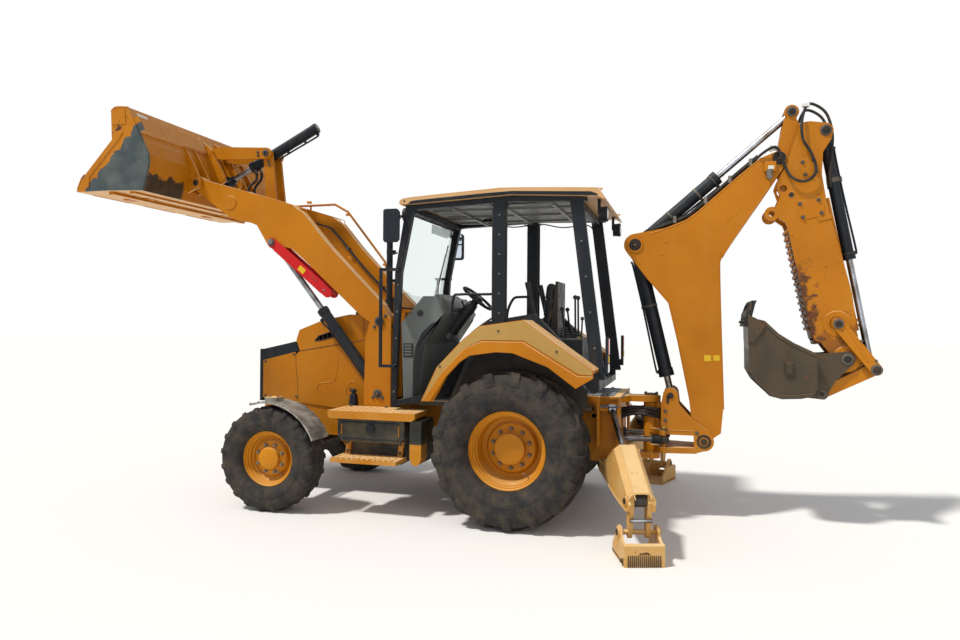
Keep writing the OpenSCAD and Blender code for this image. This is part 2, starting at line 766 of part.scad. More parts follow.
module swing_post() {
  color(paint) {
    difference() {
      union() {
        translate([swing_x, 0, 560]) cylinder(r = 66, h = 438);
        post_plates();
        translate([0, 0, 735])
          linear_extrude(height = 40)
            polygon(concat([[1190, -175], [1480, -175], [1480, -146], [1440, -146], [1440, 146],
              [1480, 146], [1480, 175], [1190, 175]],
              arc([1220, 190], 46, 80, 180, 6), arc([swing_x, 0], 66, 100, 260, 10),
              arc([1220, -190], 46, 180, 280, 6)));
        translate([0, 0, 578])
          linear_extrude(height = 50)
            polygon(concat([[1250, -220], [1500, -175], [1500, -146], [1465, -146], [1465, 146],
              [1500, 146], [1500, 175], [1250, 220]],
              arc([1220, 190], 46, 60, 180, 6), arc([swing_x, 0], 66, 100, 260, 10),
              arc([1220, -190], 46, 180, 300, 6)));
        block(1150, 1240, -60, 60, 775, 998);
      }
      translate([swing_x, 0, 400]) cylinder(r = 40 + pin_play, h = 700);
    }
    both() {
      translate([1220, swing_barrel_y, 590]) cylinder(r = 19, h = 65);
      translate([1220, swing_barrel_y, 725]) cylinder(r = 19, h = 56);
    }
  }
}

// side plates that carry the boom's foot pin and its cylinder's rod pin
module post_plates() {
  slabs(concat([[1195, 770], [1195, 1000]], arc(boom_rod_pin, 66, 160, 20, 8),
    [[1350, 1000], [1480, 860], [1600, 780]], arc(boom_foot, 84, 40, -90, 8), [[1480, 578],
    [1470, 770]]), 145, 175);
  slab([[1195, 772], [1195, 990], [1225, 990], [1225, 772]], -146, 146);
  bar(boom_foot, 38, -182, 182);
  bars(boom_rod_pin, 30, 145, 180);
}

module boom() {
  h = boom_w / 2;
  color(paint)
    difference() {
      union() {
        slab(concat(arc(boom_nose, 100, 220, 100, 8), [[1214, 2559], [1397, 2629], [1495, 2700],
          [1833, 2997], [2004, 3137], [2130, 3186]], arc(stick_pivot, 62, 80, -40, 8),
          [[2185, 3035], [2085, 2880], [1821, 2481], [1708, 2311], [1674, 2216], [1718, 968],
          [1700, 760]], arc(boom_foot, 84, 20, -160, 10), [[1432, 1044], [1327, 1560],
          [1248, 1894], [1074, 2099]]), -h, h);
        bars(boom_nose, 66, h, h + 12);
        bars(stick_pivot, 50, h, h + 10);
      }
      bar(boom_foot, 38 + pin_play, -200, 200);
      slab([[700, 2100], [700, 2560], [1330, 2900], [1480, 2740], [1290, 2440], [1200, 2060],
        [1000, 1900]], -80, 80);
      slab([[1680, 3300], [1690, 2860], [1900, 2700], [2300, 2700], [2300, 3300]], -92, 92);
    }
  color(steel) {
    bar(boom_nose, 32, -boom_w / 2 - 20, boom_w / 2 + 20);
    bar(stick_pivot, 32, -boom_w / 2 - 16, boom_w / 2 + 16);
  }
}

module boom_barrel() {
  end = along(boom_nose, boom_rod_pin, 1210);
  color(black)
    difference() {
      union() {
        run(along(boom_nose, boom_rod_pin, 60), end, boom_barrel_d / 2);
        run(along(end, boom_nose, 70), end, boom_barrel_d / 2 + 6);
        bar(boom_nose, 62, -30, 30);
      }
      bar(boom_nose, 32 + pin_play, -50, 50);
      run(along(boom_nose, boom_rod_pin, 150), along(end, boom_nose, -20), 30.05);
    }
}

module boom_rod() {
  color(steel) {
    run(along(boom_nose, boom_rod_pin, 200), along(boom_rod_pin, boom_nose, 40), 30);
    bar(boom_rod_pin, 52, -44, 44);
    bar(boom_rod_pin, 30, -139, 139);
  }
}

module stick_barrel() {
  end = along(boom_nose, stick_rod_pin, 925);
  color(black)
    difference() {
      union() {
        run(along(boom_nose, stick_rod_pin, 96), end, stick_barrel_d / 2);
        run(along(end, boom_nose, 70), end, stick_barrel_d / 2 + 4);
        slabs(link_outline(boom_nose, along(boom_nose, stick_rod_pin, 150), 56, 50), 40, 70);
      }
      bar(boom_nose, 32 + pin_play, -90, 90);
      run(along(boom_nose, stick_rod_pin, 145), along(end, boom_nose, -20), 28.05);
    }
}

module stick_rod() {
  color(steel) {
    run(along(boom_nose, stick_rod_pin, 880), along(stick_rod_pin, boom_nose, 34), 28);
    bar(stick_rod_pin, 44, -38, 38);
  }
}

// places children drawn along the stick: local x across it, local z up along it
module on_stick() {
  translate([stick_pivot[0], 0, stick_pivot[1]])
    rotate([0, -stick_lean, 0])
      children();
}

module stick() {
  color(paint)
    on_stick()
      difference() {
        union() {
          slab([[-24, -1415], [287, -1415], [287, 40], [250, 120], [200, 330], [110, 330],
            [0, 60], [-60, 0], [-24, -120]], -85, 85);
          bar([181, 373], 60, -85, 85);
          bar([0, 0], 60, -88, 88);
          blocks(-20, 283, 85, 97.7, -560, -440);
        }
        slab([[-100, 262], [69, 226], [300, 176], [420, 500], [-100, 500]], -44, 44);
        bar([0, 0], 32 + pin_play, -100, 100);
      }
  color(steel) bars(stick_rod_pin, 26, 44, 96);
}

thumb_bore = [-153, -450];
thumb_boss_r = 60;
thumb_bore_r = 25;

module stick_extension() {
  color(paint)
    on_stick() {
      difference() {
        slabs([[223, 253], [32, -80], [-40, -170], [-72, -223], [-61, -325], [-110, -400],
          [-110, -500], [-63, -550], [-55, -600], [-57, -1429], [-45, -1575], [7, -1604],
          [60, -1720], [110, -1820], [172, -1850], [238, -1810], [270, -1700], [296, -1553],
          [322, -1250], [318, -1128], [291, -600], [288, -413], [296, -221], [342, -37],
          [430, 60], [462, 137], [440, 190], [400, 205], [300, 245]], 98, 128);
        bar([-20, -260], 30, -140, 140);
        bar(thumb_bore, thumb_boss_r + gap, -140, 140);
      }
      block(298, 318, -98, 98, -1560, -420);
      block(-55, -35, -98, 98, -1560, -600);
      block(-44, 300, -98, 98, -1610, -1575);
      for (i = [0 : notch_count - 1])
        block(-78, -54, -98, 98, -640 - i * 900 / notch_count, -616 - i * 900 / notch_count);
      bar([172, -1775], 74, -128, 128);
      bar([158.6, -1473], 50, -134, 134);
      difference() {
        bars(thumb_bore, thumb_boss_r, 98.3, 130);
        bar(thumb_bore, thumb_bore_r, -140, 140);
      }
    }
  color(steel) {
    bar(hoe_cyl_pin, 26, -134, 134);
    bar(hoe_pin, 36, -172, 172);
    bar(guide_pin, 30, -205, 205);
  }
}

module hoe_bucket() {
  h = hoe_bucket_w / 2;
  color(dark) {
    slab([[1900, 1795], [1906, 1672], [1916, 1313], [1966, 1229], [2087, 1113], [2183, 1091],
      [2321, 1099], [2412, 1118], [2446, 1180], [2440, 1455], [2420, 1455], [2424, 1186],
      [2398, 1138], [2318, 1120], [2188, 1112], [2098, 1132], [1982, 1241], [1937, 1321],
      [1928, 1672], [1916, 1800]], -h, h);
    slabs([[1900, 1795], [1906, 1672], [1916, 1313], [1966, 1229], [2087, 1113], [2183, 1091],
      [2321, 1099], [2412, 1118], [2446, 1180], [2440, 1470], [2398, 1493], [2265, 1557],
      [2147, 1633], [2035, 1742], [1960, 1760]], h - 18, h);
    difference() {
      slabs(concat([[2300, 1105]], arc(ear_pin, 50, -70, 10, 5), [[2600, 1240]],
        arc(hoe_pin, 62, -60, 100, 8), [[2513, 1470], [2430, 1470], [2430, 1300]]), 136, 164);
      bar(hoe_pin, 36 + pin_play, -200, 200);
    }
    bars(ear_pin, 28, 136, 170);
    for (i = [0 : tooth_count - 1])
      translate([0, -h + 40 + (hoe_bucket_w - 80) * i / (tooth_count - 1), 0])
        slab([[1886, 1720], [1884, 1800], [1938, 1912], [1926, 1800], [1926, 1720]], -28, 28);
  }
}

module guide_link() {
  color(paint)
    difference() {
      slabs(link_outline(guide_pin, link_pin, 50, 46), 172, 197);
      bars(guide_pin, 30 + pin_play, 160, 210);
    }
  color(steel) bars(link_pin, 28, 52, 197);
}

module bucket_link() {
  color(paint)
    difference() {
      union() {
        slabs(link_outline(link_pin, ear_pin, 48, 46), 60, 128);
        slab(link_outline(along(link_pin, ear_pin, 150), along(ear_pin, link_pin, 130), 30, 30),
          -61, 61);
        bar(ear_pin, 28, -130, 130);
      }
      bar(link_pin, 28 + pin_play, -140, 140);
    }
}

hoe_gland = along(hoe_cyl_pin, link_pin, 1100);

module bucket_barrel() {
  color(black)
    difference() {
      union() {
        run(along(hoe_cyl_pin, link_pin, 40), hoe_gland, bucket_barrel_d / 2);
        run(along(hoe_gland, hoe_cyl_pin, 66), hoe_gland, bucket_barrel_d / 2 + 3);
        bar(hoe_cyl_pin, 50, -46, 46);
      }
      bar(hoe_cyl_pin, 26 + pin_play, -60, 60);
      run(along(hoe_cyl_pin, link_pin, 110), along(hoe_gland, hoe_cyl_pin, -20), 27.05);
    }
}

module bucket_rod() {
  color(steel) {
    run(along(hoe_cyl_pin, link_pin, 905), along(link_pin, hoe_cyl_pin, 34), 27);
    bar(link_pin, 44, -46, 46);
  }
}

// swing cylinders

module swing_barrels() {
  color(black)
    both()
      translate([0, swing_barrel_y, 690])
        rotate([0, 90, 0])
          difference() {
            union() {
              translate([0, 0, 425]) cylinder(r = 44, h = 435);
              translate([-60, -48, 742]) cube([120, 96, 56]);
              translate([0, 0, 742]) cylinder(r = 52, h = 56);
            }
            translate([0, 0, 440]) cylinder(r = 24.05, h = 460);
          }
}

module swing_rod(side) {
  color(steel)
    translate([0, side * swing_barrel_y, 690]) {
      translate([636, 0, 0]) rotate([0, 90, 0]) cylinder(r = 24, h = 554);
      translate([1105, 0, 0]) rotate([0, 90, 0]) cylinder(r = 34, h = 90);
      translate([1220, 0, -28]) cylinder(r = 36, h = 56);
    }
}

// stabilisers, drawn along the leg: local x outwards, local z up

leg_top_pin = [31, 980];
leg_low_pin = [1000, 430];
pad_pin = [974, 200];
leg_cover_slope = 30.4;

module on_leg(side) {
  scale([1, side, 1])
    translate([leg_x, leg_y, 0])
      rotate([0, 0, 90 - leg_skew])
        children();
}

module leg(side) {
  h = leg_w / 2;
  color(paint)
    on_leg(side) {
      difference() {
        slabs([[-42, 480], [-30, 535], [160, 540], [560, 724], [600, 712], [1062, 441],
          [1088, 420], [1074, 370], [984, 350], [600, 370], [-20, 460]], h - 18, h);
        bar([0, 500], 20 + pin_play, -h - 10, h + 10);
      }
      translate([600, 0, 770])
        rotate([0, leg_cover_slope, 0])
          rotate([90, 0, 90])
            linear_extrude(height = 530)
              polygon([[-h, -64], [-h, -44], [-h + 40, 0], [h - 40, 0], [h, -44], [h, -64],
                [h - 18, -64], [h - 18, -52], [h - 48, -18], [48 - h, -18], [18 - h, -52],
                [18 - h, -64]]);
      difference() {
        slabs([[944, 380], [944, 470], [1034, 480], [1054, 420], [1004, 170], [974, 155],
          [944, 170]], 50, h - 18);
        bar(pad_pin, 18 + pin_play, -h, h);
      }
      bar(leg_low_pin, 22, -h, h);
      bars(leg_low_pin, 36, h - 30, h + 6);
    }
}

module pad(side) {
  h = pad_w / 2;
  color(paint)
    on_leg(side) {
      slabs([[772, 0], [772, 70], [904, 190], [944, 245], [1004, 245], [1044, 180],
        [1158, 130], [1158, 0]], h - 20, h);
      bars(pad_pin, 40, h - 20, h + 10);
      bar(pad_pin, 18, -h + 0.5, h - 0.5);
      slab([[772, 0], [772, 18], [1144, 18], [1144, 0]], -h, h);
      difference() {
        slab([[1131, 84], [1131, 162], [1158, 150], [1158, 84]], -h, h);
        translate([1120, 0, 60]) rotate([0, 90, 0]) cylinder(r = 52, h = 50);
      }
      for (i = [0 : pad_tooth_count - 1])
        translate([0, -h + 24 + (pad_w - 48) * i / (pad_tooth_count - 1), 0])
          block(1133, 1156, -5, 5, 0, 88);
    }
}

leg_gland = along(leg_low_pin, leg_top_pin, 575);

module leg_barrel(side) {
  color(black)
    on_leg(side)
      difference() {
        union() {
          run(along(leg_low_pin, leg_top_pin, 30), leg_gland, 42);
          bar(leg_low_pin, 44, -40, 40);
        }
        bar(leg_low_pin, 22 + pin_play, -50, 50);
        run(along(leg_low_pin, leg_top_pin, 50), along(leg_gland, leg_low_pin, -20), 25.05);
      }
}

module leg_rod(side) {
  color(steel)
    on_leg(side) {
      run(along(leg_low_pin, leg_top_pin, 540), along(leg_top_pin, leg_low_pin, 30), 25);
      bar(leg_top_pin, 40, -28, 28);
    }
}

// what is drawn

at_axle() {
  chassis();
  axles();
  engine_block();
  hood_sides();
  nose_grille();
  loader_tower();
  tank_steps();
  cab_frame();
  roof();
  windscreen();
  cab_floor();
  dash();
  seat_cushions();
  rear_fenders();
  exhaust();
  lamps();
  swing_barrels();
  hood_lid();
  knuckle(-1);  // knuckle_left
  knuckle(1);  // knuckle_right
  front_tyre(-1);  // tyre_front_left
  front_tyre(1);  // tyre_front_right
  rear_tyre(-1);  // tyre_rear_left
  rear_tyre(1);  // tyre_rear_right
  front_rim(-1);  // rim_front_left
  front_rim(1);  // rim_front_right
  rear_rim(-1);  // rim_rear_left
  rear_rim(1);  // rim_rear_right
  loader_arms();
  lock_strut();
  loader_bucket();
  tilt_lever();
  tilt_link();
  tilt_barrel();
  tilt_rod();
  lift_barrels();
  lift_rods();
  swing_post();
  boom();
  stick();
  stick_extension();
  hoe_bucket();
  guide_link();
  bucket_link();
  boom_barrel();
  boom_rod();
  stick_barrel();
  stick_rod();
  bucket_barrel();
  bucket_rod();
  swing_rod(-1);  // swing_rod_left
  swing_rod(1);  // swing_rod_right
  leg(-1);  // leg_left
  leg(1);  // leg_right
  pad(-1);  // pad_left
  pad(1);  // pad_right
  leg_barrel(-1);  // leg_barrel_left
  leg_barrel(1);  // leg_barrel_right
  leg_rod(-1);  // leg_rod_left
  leg_rod(1);  // leg_rod_right
}
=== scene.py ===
import math

import bmesh
import bpy
from mathutils import Matrix, Vector


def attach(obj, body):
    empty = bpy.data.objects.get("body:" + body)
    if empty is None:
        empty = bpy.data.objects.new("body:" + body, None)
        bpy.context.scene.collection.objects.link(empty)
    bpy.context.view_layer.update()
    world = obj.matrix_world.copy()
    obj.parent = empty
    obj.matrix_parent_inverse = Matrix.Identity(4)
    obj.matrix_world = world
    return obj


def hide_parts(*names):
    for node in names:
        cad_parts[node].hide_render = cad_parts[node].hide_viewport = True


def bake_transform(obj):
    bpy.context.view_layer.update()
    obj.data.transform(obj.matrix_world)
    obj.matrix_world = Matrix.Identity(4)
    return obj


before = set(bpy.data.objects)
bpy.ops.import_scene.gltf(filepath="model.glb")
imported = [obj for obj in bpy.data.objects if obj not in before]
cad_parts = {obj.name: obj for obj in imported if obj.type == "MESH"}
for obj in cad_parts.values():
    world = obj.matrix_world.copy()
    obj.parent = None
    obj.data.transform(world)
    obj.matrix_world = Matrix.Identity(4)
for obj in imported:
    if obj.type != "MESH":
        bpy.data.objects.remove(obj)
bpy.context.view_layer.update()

# Camera, standing level with the cab steps.
# It looks at the machine's left side from slightly behind the middle, nearly level, with a
# trace of roll, as the photograph was taken.
yaw, pitch, roll = math.radians(16.13), math.radians(0.19), math.radians(0.44)
ahead = Vector((-math.sin(yaw) * math.cos(pitch), math.cos(yaw) * math.cos(pitch),
                math.sin(pitch)))
across = Vector((math.cos(yaw), math.sin(yaw), 0.0))
upright = across.cross(ahead)
stand_point = Vector((2.094, -6.889, 1.709))
focal_pixels, frame_pixels = 739.0, 960.0
side_axis = across * math.cos(roll) + upright * math.sin(roll)
top_axis = upright * math.cos(roll) - across * math.sin(roll)
camera_data = bpy.data.cameras.new("view_camera")
camera_data.sensor_width = 36.0
camera_data.lens = camera_data.sensor_width * focal_pixels / frame_pixels
camera_data.clip_end = 400.0
camera = bpy.data.objects.new("view_camera", camera_data)
camera.matrix_world = Matrix.Translation(stand_point) @ Matrix(
    (side_axis, top_axis, -ahead)).transposed().to_4x4()
bpy.context.collection.objects.link(camera)
bpy.context.scene.camera = camera

# Plain pale floor and soft lamps.
# The floor is one wide sheet under a backdrop that is white for the camera, glass and metal; a
# soft sun stands high behind the bucket, and a wide lamp fills from the camera's side.
scene = bpy.context.scene
scene.view_settings.view_transform = "Standard"
world = bpy.data.worlds.new("studio_air")
scene.world = world
world.use_nodes = True
air = world.node_tree
sky = air.nodes["Background"]
sky.inputs["Color"].default_value = (0.93, 0.96, 1.0, 1.0)
sky.inputs["Strength"].default_value = 0.50
white = air.nodes.new("ShaderNodeBackground")
white.inputs["Color"].default_value = (1.0, 1.0, 1.0, 1.0)
white.inputs["Strength"].default_value = 1.0
sight = air.nodes.new("ShaderNodeLightPath")
seen, mirrored = air.nodes.new("ShaderNodeMath"), air.nodes.new("ShaderNodeMath")
seen.operation = mirrored.operation = "MAXIMUM"
air.links.new(sight.outputs["Is Camera Ray"], seen.inputs[0])
air.links.new(sight.outputs["Is Transmission Ray"], seen.inputs[1])
air.links.new(seen.outputs[0], mirrored.inputs[0])
air.links.new(sight.outputs["Is Glossy Ray"], mirrored.inputs[1])
choose = air.nodes.new("ShaderNodeMixShader")
air.links.new(mirrored.outputs[0], choose.inputs[0])
air.links.new(sky.outputs[0], choose.inputs[1])
air.links.new(white.outputs[0], choose.inputs[2])
air.links.new(choose.outputs[0], air.nodes["World Output"].inputs["Surface"])

floor_mesh = bpy.data.meshes.new("studio_floor")
floor_mesh.from_pydata([(-60, -60, 0), (60, -60, 0), (60, 60, 0), (-60, 60, 0)], [],
                       [(0, 1, 2, 3)])
floor = bpy.data.objects.new("studio_floor", floor_mesh)
bpy.context.collection.objects.link(floor)
chalk = bpy.data.materials.new("pale_floor")
chalk.use_nodes = True
powder = chalk.node_tree.nodes["Principled BSDF"]
powder.inputs["Base Color"].default_value = (0.80, 0.79, 0.77, 1)
powder.inputs["Roughness"].default_value = 0.85
powder.inputs["Specular IOR Level"].default_value = 0.1
floor_mesh.materials.append(chalk)


def hang_lamp(name, kind, place, aim, energy, size, colour):
    data = bpy.data.lights.new(name, kind)
    data.energy = energy
    data.color = colour
    if kind == "AREA":
        data.size = size
    else:
        data.angle = size
    lamp = bpy.data.objects.new(name, data)
    lamp.location = place
    lamp.rotation_euler = (Vector(aim) - Vector(place)).to_track_quat("-Z", "Y").to_euler()
    bpy.context.collection.objects.link(lamp)


hang_lamp("key_lamp", "SUN", (-5, -4.6, 12), (0, 0, 1), 3.0, math.radians(5), (1.0, 0.97, 0.92))
hang_lamp("fill_lamp", "AREA", (5, -10, 3.5), (0.5, 0, 1.5), 130, 6.0, (1.0, 0.98, 0.96))

# Tyres.
# Wide ribbed-shoulder tyres with heavy slanted bars that run from the middle of the tread over
# the shoulder; black rubber, browned with road dust on the side walls and scuffed on the bars.


def linear(red, green, blue):
    """A colour picked from 0 to 255, as the light values that a shader takes."""
    return tuple((c / 255 / 12.92) if c <= 10 else ((c / 255 + 0.055) / 1.055) ** 2.4
                 for c in (red, green, blue)) + (1.0,)


class Finish:
    """One material, and the few kinds of node that its look is painted with."""

    def __init__(self, name, metal=0.0, specular=0.5):
        self.material = bpy.data.materials.new(name)
        self.material.use_nodes = True
        self.tree = self.material.node_tree
        self.shader = self.tree.nodes["Principled BSDF"]
        self.shader.inputs["Metallic"].default_value = metal
        self.shader.inputs["Specular IOR Level"].default_value = specular
        self.place = self.tree.nodes.new("ShaderNodeTexCoord")

    def join(self, value, socket):
        """Links a node's output to a socket, or sets a plain value on it."""
        if isinstance(value, bpy.types.NodeSocket):
            self.tree.links.new(value, socket)
        else:
            socket.default_value = value

    def stretched(self, stretch):
        """The machine's own coordinates, scaled along each axis."""
        mapping = self.tree.nodes.new("ShaderNodeMapping")
        mapping.inputs["Scale"].default_value = stretch
        self.join(self.place.outputs["Object"], mapping.inputs["Vector"])
        return mapping.outputs["Vector"]

    def noise(self, scale, detail=4.0, stretch=(1, 1, 1), blur=0.5):
        """Cloudy noise in metres; a high scale gives fine grain."""
        node = self.tree.nodes.new("ShaderNodeTexNoise")
        node.inputs["Scale"].default_value = scale
        node.inputs["Detail"].default_value = detail
        node.inputs["Roughness"].default_value = blur
        self.join(self.stretched(stretch), node.inputs["Vector"])
        return node.outputs["Fac"]

    def ramp(self, value, low, high, at_low=0.0, at_high=1.0):
        """A value spread from low..high to at_low..at_high."""
        node = self.tree.nodes.new("ShaderNodeMapRange")
        for socket, number in zip(("From Min", "From Max", "To Min", "To Max"),
                                  (low, high, at_low, at_high)):
            node.inputs[socket].default_value = number
        self.join(value, node.inputs["Value"])
        return node.outputs["Result"]

    def maths(self, operation, a, b=0.0):
        """One sum of two values."""
        node = self.tree.nodes.new("ShaderNodeMath")
        node.operation = operation
        self.join(a, node.inputs[0])
        self.join(b, node.inputs[1])
        return node.outputs[0]

    def over(self, amount, below, above):
        """The second colour laid over the first by an amount."""
        node = self.tree.nodes.new("ShaderNodeMix")
        node.data_type = "RGBA"
        self.join(amount, node.inputs[0])
        self.join(below, node.inputs[6])
        self.join(above, node.inputs[7])
        return node.outputs[2]

    def part(self, source, axis):
        """One axis of the place or of the direction that a face looks."""
        node = self.tree.nodes.new("ShaderNodeSeparateXYZ")
        self.join(self.place.outputs[source], node.inputs[0])
        return node.outputs[axis]

    def relief(self, height, strength, distance):
        """Height that the light shows as dents and grain."""
        node = self.tree.nodes.new("ShaderNodeBump")
        node.inputs["Strength"].default_value = strength
        node.inputs["Distance"].default_value = distance
        self.join(height, node.inputs["Height"])
        self.join(node.outputs["Normal"], self.shader.inputs["Normal"])

    def done(self, colour, roughness):
        """Sets the colour and roughness, and hands the material over."""
        self.join(colour, self.shader.inputs["Base Color"])
        self.join(roughness, self.shader.inputs["Roughness"])
        return self.material


def coat_node(material, *names):
    """Gives CAD nodes a finish."""
    for name in names:
        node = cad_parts[name]
        if not node.material_slots:
            node.data.materials.append(material)
        for place in node.material_slots:
            place.material = material


def tyre_rubber(name):
    """Black rubber with road dust in its pores."""
    f = Finish(name, specular=0.25)
    colour = f.over(f.ramp(f.noise(5, 7), 0.35, 0.7), linear(36, 36, 38), linear(50, 48, 46))
    dust = f.ramp(f.noise(9, 8, blur=0.65), 0.42, 0.66, 0.0, 0.40)
    colour = f.over(dust, colour, linear(96, 84, 66))
    f.relief(f.noise(70, 6), 0.3, 0.004)
    return f.done(colour, f.ramp(f.noise(20, 4), 0.3, 0.7, 0.72, 0.92))


rubber = tyre_rubber("tyre_rubber")
coat_node(rubber, "tyre_front_left", "tyre_front_right", "tyre_rear_left", "tyre_rear_right")

rear_axle_x = 627.0


def spot(x, y, z):
    """A frame point from millimetres measured from the ground under the rear axle."""
    return Vector(((x + rear_axle_x) / 1000.0, y / 1000.0, z / 1000.0))


def smooth_line(points, fine=6):
    """A line of frame points that bends smoothly through the given ones."""
    if len(points) < 3:
        return list(points)
    line = []
    ends = [points[0] * 2 - points[1]] + list(points) + [points[-1] * 2 - points[-2]]
    for i in range(1, len(ends) - 2):
        p0, p1, p2, p3 = ends[i - 1], ends[i], ends[i + 1], ends[i + 2]
        for k in range(fine):
            t = k / fine
            line.append(0.5 * ((2 * p1) + (p2 - p0) * t + (2 * p0 - 5 * p1 + 4 * p2 - p3) * t * t
                               + (3 * p1 - p0 - 3 * p2 + p3) * t * t * t))
    line.append(points[-1].copy())
    return line


def round_section(sides, radius):
    """A ring of points in metres, for a hose or a pipe."""
    turns = [2 * math.pi * k / sides for k in range(sides)]
    return [(math.cos(t) * radius, math.sin(t) * radius) for t in turns]


class Shape:
    """Solid shapes gathered into the mesh of one piece."""

    def __init__(self):
        self.mesh = bmesh.new()

    def mark(self, verts, slot):
        """Gives the faces round these corners their material."""
        for face in {face for vert in verts for face in vert.link_faces}:
            face.material_index = slot

    def rod(self, a, b, radius, far=None, sides=20, slot=0):
        """A round bar from a to b; far is its radius at b."""
        start, end = spot(*a), spot(*b)
        way = end - start
        turn = way.to_track_quat("Z", "Y").to_matrix().to_4x4()
        made = bmesh.ops.create_cone(
            self.mesh, cap_ends=True, segments=sides, radius1=radius / 1000,
            radius2=(radius if far is None else far) / 1000, depth=way.length,
            matrix=Matrix.Translation((start + end) / 2) @ turn)
        self.mark(made["verts"], slot)

    def solid(self, low, high, slot=0, ease=0.0):
        """A box; ease pulls its top face in."""
        (x0, y0, z0), (x1, y1, z1) = low, high
        points = [(x0, y0, z0), (x1, y0, z0), (x1, y1, z0), (x0, y1, z0),
                  (x0 + ease, y0 + ease, z1), (x1 - ease, y0 + ease, z1),
                  (x1 - ease, y1 - ease, z1), (x0 + ease, y1 - ease, z1)]
        verts = [self.mesh.verts.new(spot(*p)) for p in points]
        for ring in ((3, 2, 1, 0), (4, 5, 6, 7), (0, 1, 5, 4), (1, 2, 6, 5), (2, 3, 7, 6),
                     (3, 0, 4, 7)):
            self.mesh.faces.new([verts[i] for i in ring]).material_index = slot

    def prism(self, outline, shift, slot=0):
        """A flat outline of frame points swept by one shift."""
        near = [self.mesh.verts.new(p) for p in outline]
        far = [self.mesh.verts.new(p + shift) for p in outline]
        self.mesh.faces.new(near).material_index = slot
        self.mesh.faces.new(list(reversed(far))).material_index = slot
        for i in range(len(near)):
            k = (i + 1) % len(near)
            self.mesh.faces.new([near[k], near[i], far[i], far[k]]).material_index = slot

    def plate(self, outline, y0, y1, slot=0):
        """A flat plate with a side outline of (x, z) points."""
        self.prism([spot(x, y0, z) for x, z in outline], Vector((0, (y1 - y0) / 1000, 0)), slot)

    def side_plates(self, outline, inner, outer, slot=0):
        """The same plate on both sides of the machine, between two widths."""
        for side in (-1, 1):
            self.plate(outline, *sorted((side * inner, side * outer)), slot)

    def tube(self, points, radius, sides=10, slot=0):
        """A bent round tube through the points."""
        line = smooth_line([spot(*p) for p in points])
        self.sweep(line, round_section(sides, radius / 1000), slot)

    def sweep(self, line, section, slot=0):
        """A section of (across, up) offsets in metres carried along a line of frame points."""
        rings = []
        normal = None
        for i, point in enumerate(line):
            way = (line[min(i + 1, len(line) - 1)] - line[max(i - 1, 0)]).normalized()
            if normal is None:
                normal = Vector((0, 0, 1)) if abs(way.z) < 0.9 else Vector((1, 0, 0))
            normal = (normal - way * normal.dot(way)).normalized()
            side = way.cross(normal)
            rings.append([self.mesh.verts.new(point + side * a + normal * b) for a, b in section])
        count = len(section)
        for one, two in zip(rings, rings[1:]):
            for k in range(count):
                n = (k + 1) % count
                self.mesh.faces.new([one[k], one[n], two[n], two[k]]).material_index = slot
        self.mesh.faces.new(list(reversed(rings[0]))).material_index = slot
        self.mesh.faces.new(rings[-1]).material_index = slot

    def turned(self, centre, axis, profile, sides=48, slots=None):
        """A closed profile of (radius, along) points turned round an axis; slots gives each
        side of the profile its material."""
        axis = Vector(axis).normalized()
        first = Vector((0, 0, 1)) if abs(axis.z) < 0.9 else Vector((1, 0, 0))
        first = (first - axis * first.dot(axis)).normalized()
        second = axis.cross(first)
        middle = spot(*centre)
        rings = []
        for r, h in profile:
            if r < 0.01:
                rings.append([self.mesh.verts.new(middle + axis * h / 1000)])
                continue
            rings.append([self.mesh.verts.new(
                middle + axis * h / 1000 + (first * math.cos(t) + second * math.sin(t)) * r / 1000)
                for t in (2 * math.pi * k / sides for k in range(sides))])
        for i in range(len(profile)):
            one, two = rings[i], rings[(i + 1) % len(rings)]
            slot = slots[i] if slots else 0
            for k in range(sides):
                n = (k + 1) % sides
                if len(one) == 1 and len(two) == 1:
                    break
                if len(one) == 1:
                    ring = [one[0], two[n], two[k]]
                elif len(two) == 1:
                    ring = [one[k], one[n], two[0]]
                else:
                    ring = [one[k], one[n], two[n], two[k]]
                self.mesh.faces.new(ring).material_index = slot

    def boss(self, x, y, z, profile, sides=48, slots=None):
        """A turned ring or cap on a side face, looking away from the machine's middle."""
        self.turned((x, y, z), (0, 1 if y > 0 else -1, 0), profile, sides, slots)

    def bolt(self, place, axis, across=24, slot=0, washer=True):
        """A hexagon head, on its washer, standing on a face along the axis."""
        axis = Vector(axis).normalized()
        turn = axis.to_track_quat("Z", "Y").to_matrix().to_4x4()
        base = spot(*place)
        if washer:
            made = bmesh.ops.create_cone(
                self.mesh, cap_ends=True, segments=16, radius1=across * 0.00078,
                radius2=across * 0.00074, depth=across * 0.00014,
                matrix=Matrix.Translation(base + axis * across * 0.00007) @ turn)
            self.mark(made["verts"], slot)
        made = bmesh.ops.create_cone(
            self.mesh, cap_ends=True, segments=6, radius1=across * 0.00056,
            radius2=across * 0.00050, depth=across * 0.00052,
            matrix=Matrix.Translation(base + axis * across * 0.0004) @ turn)
        self.mark(made["verts"], slot)

    def pin_head(self, place, axis, radius, high, slot=0):
        """A round pin end with a chamfered rim and a grease hole."""
        r, h = radius, high
        self.turned(place, axis, [(0, -2), (r, -2), (r, h * 0.7), (r * 0.88, h), (r * 0.24, h),
                                  (r * 0.20, h * 0.7), (0, h * 0.7)], 28, [slot] * 7)

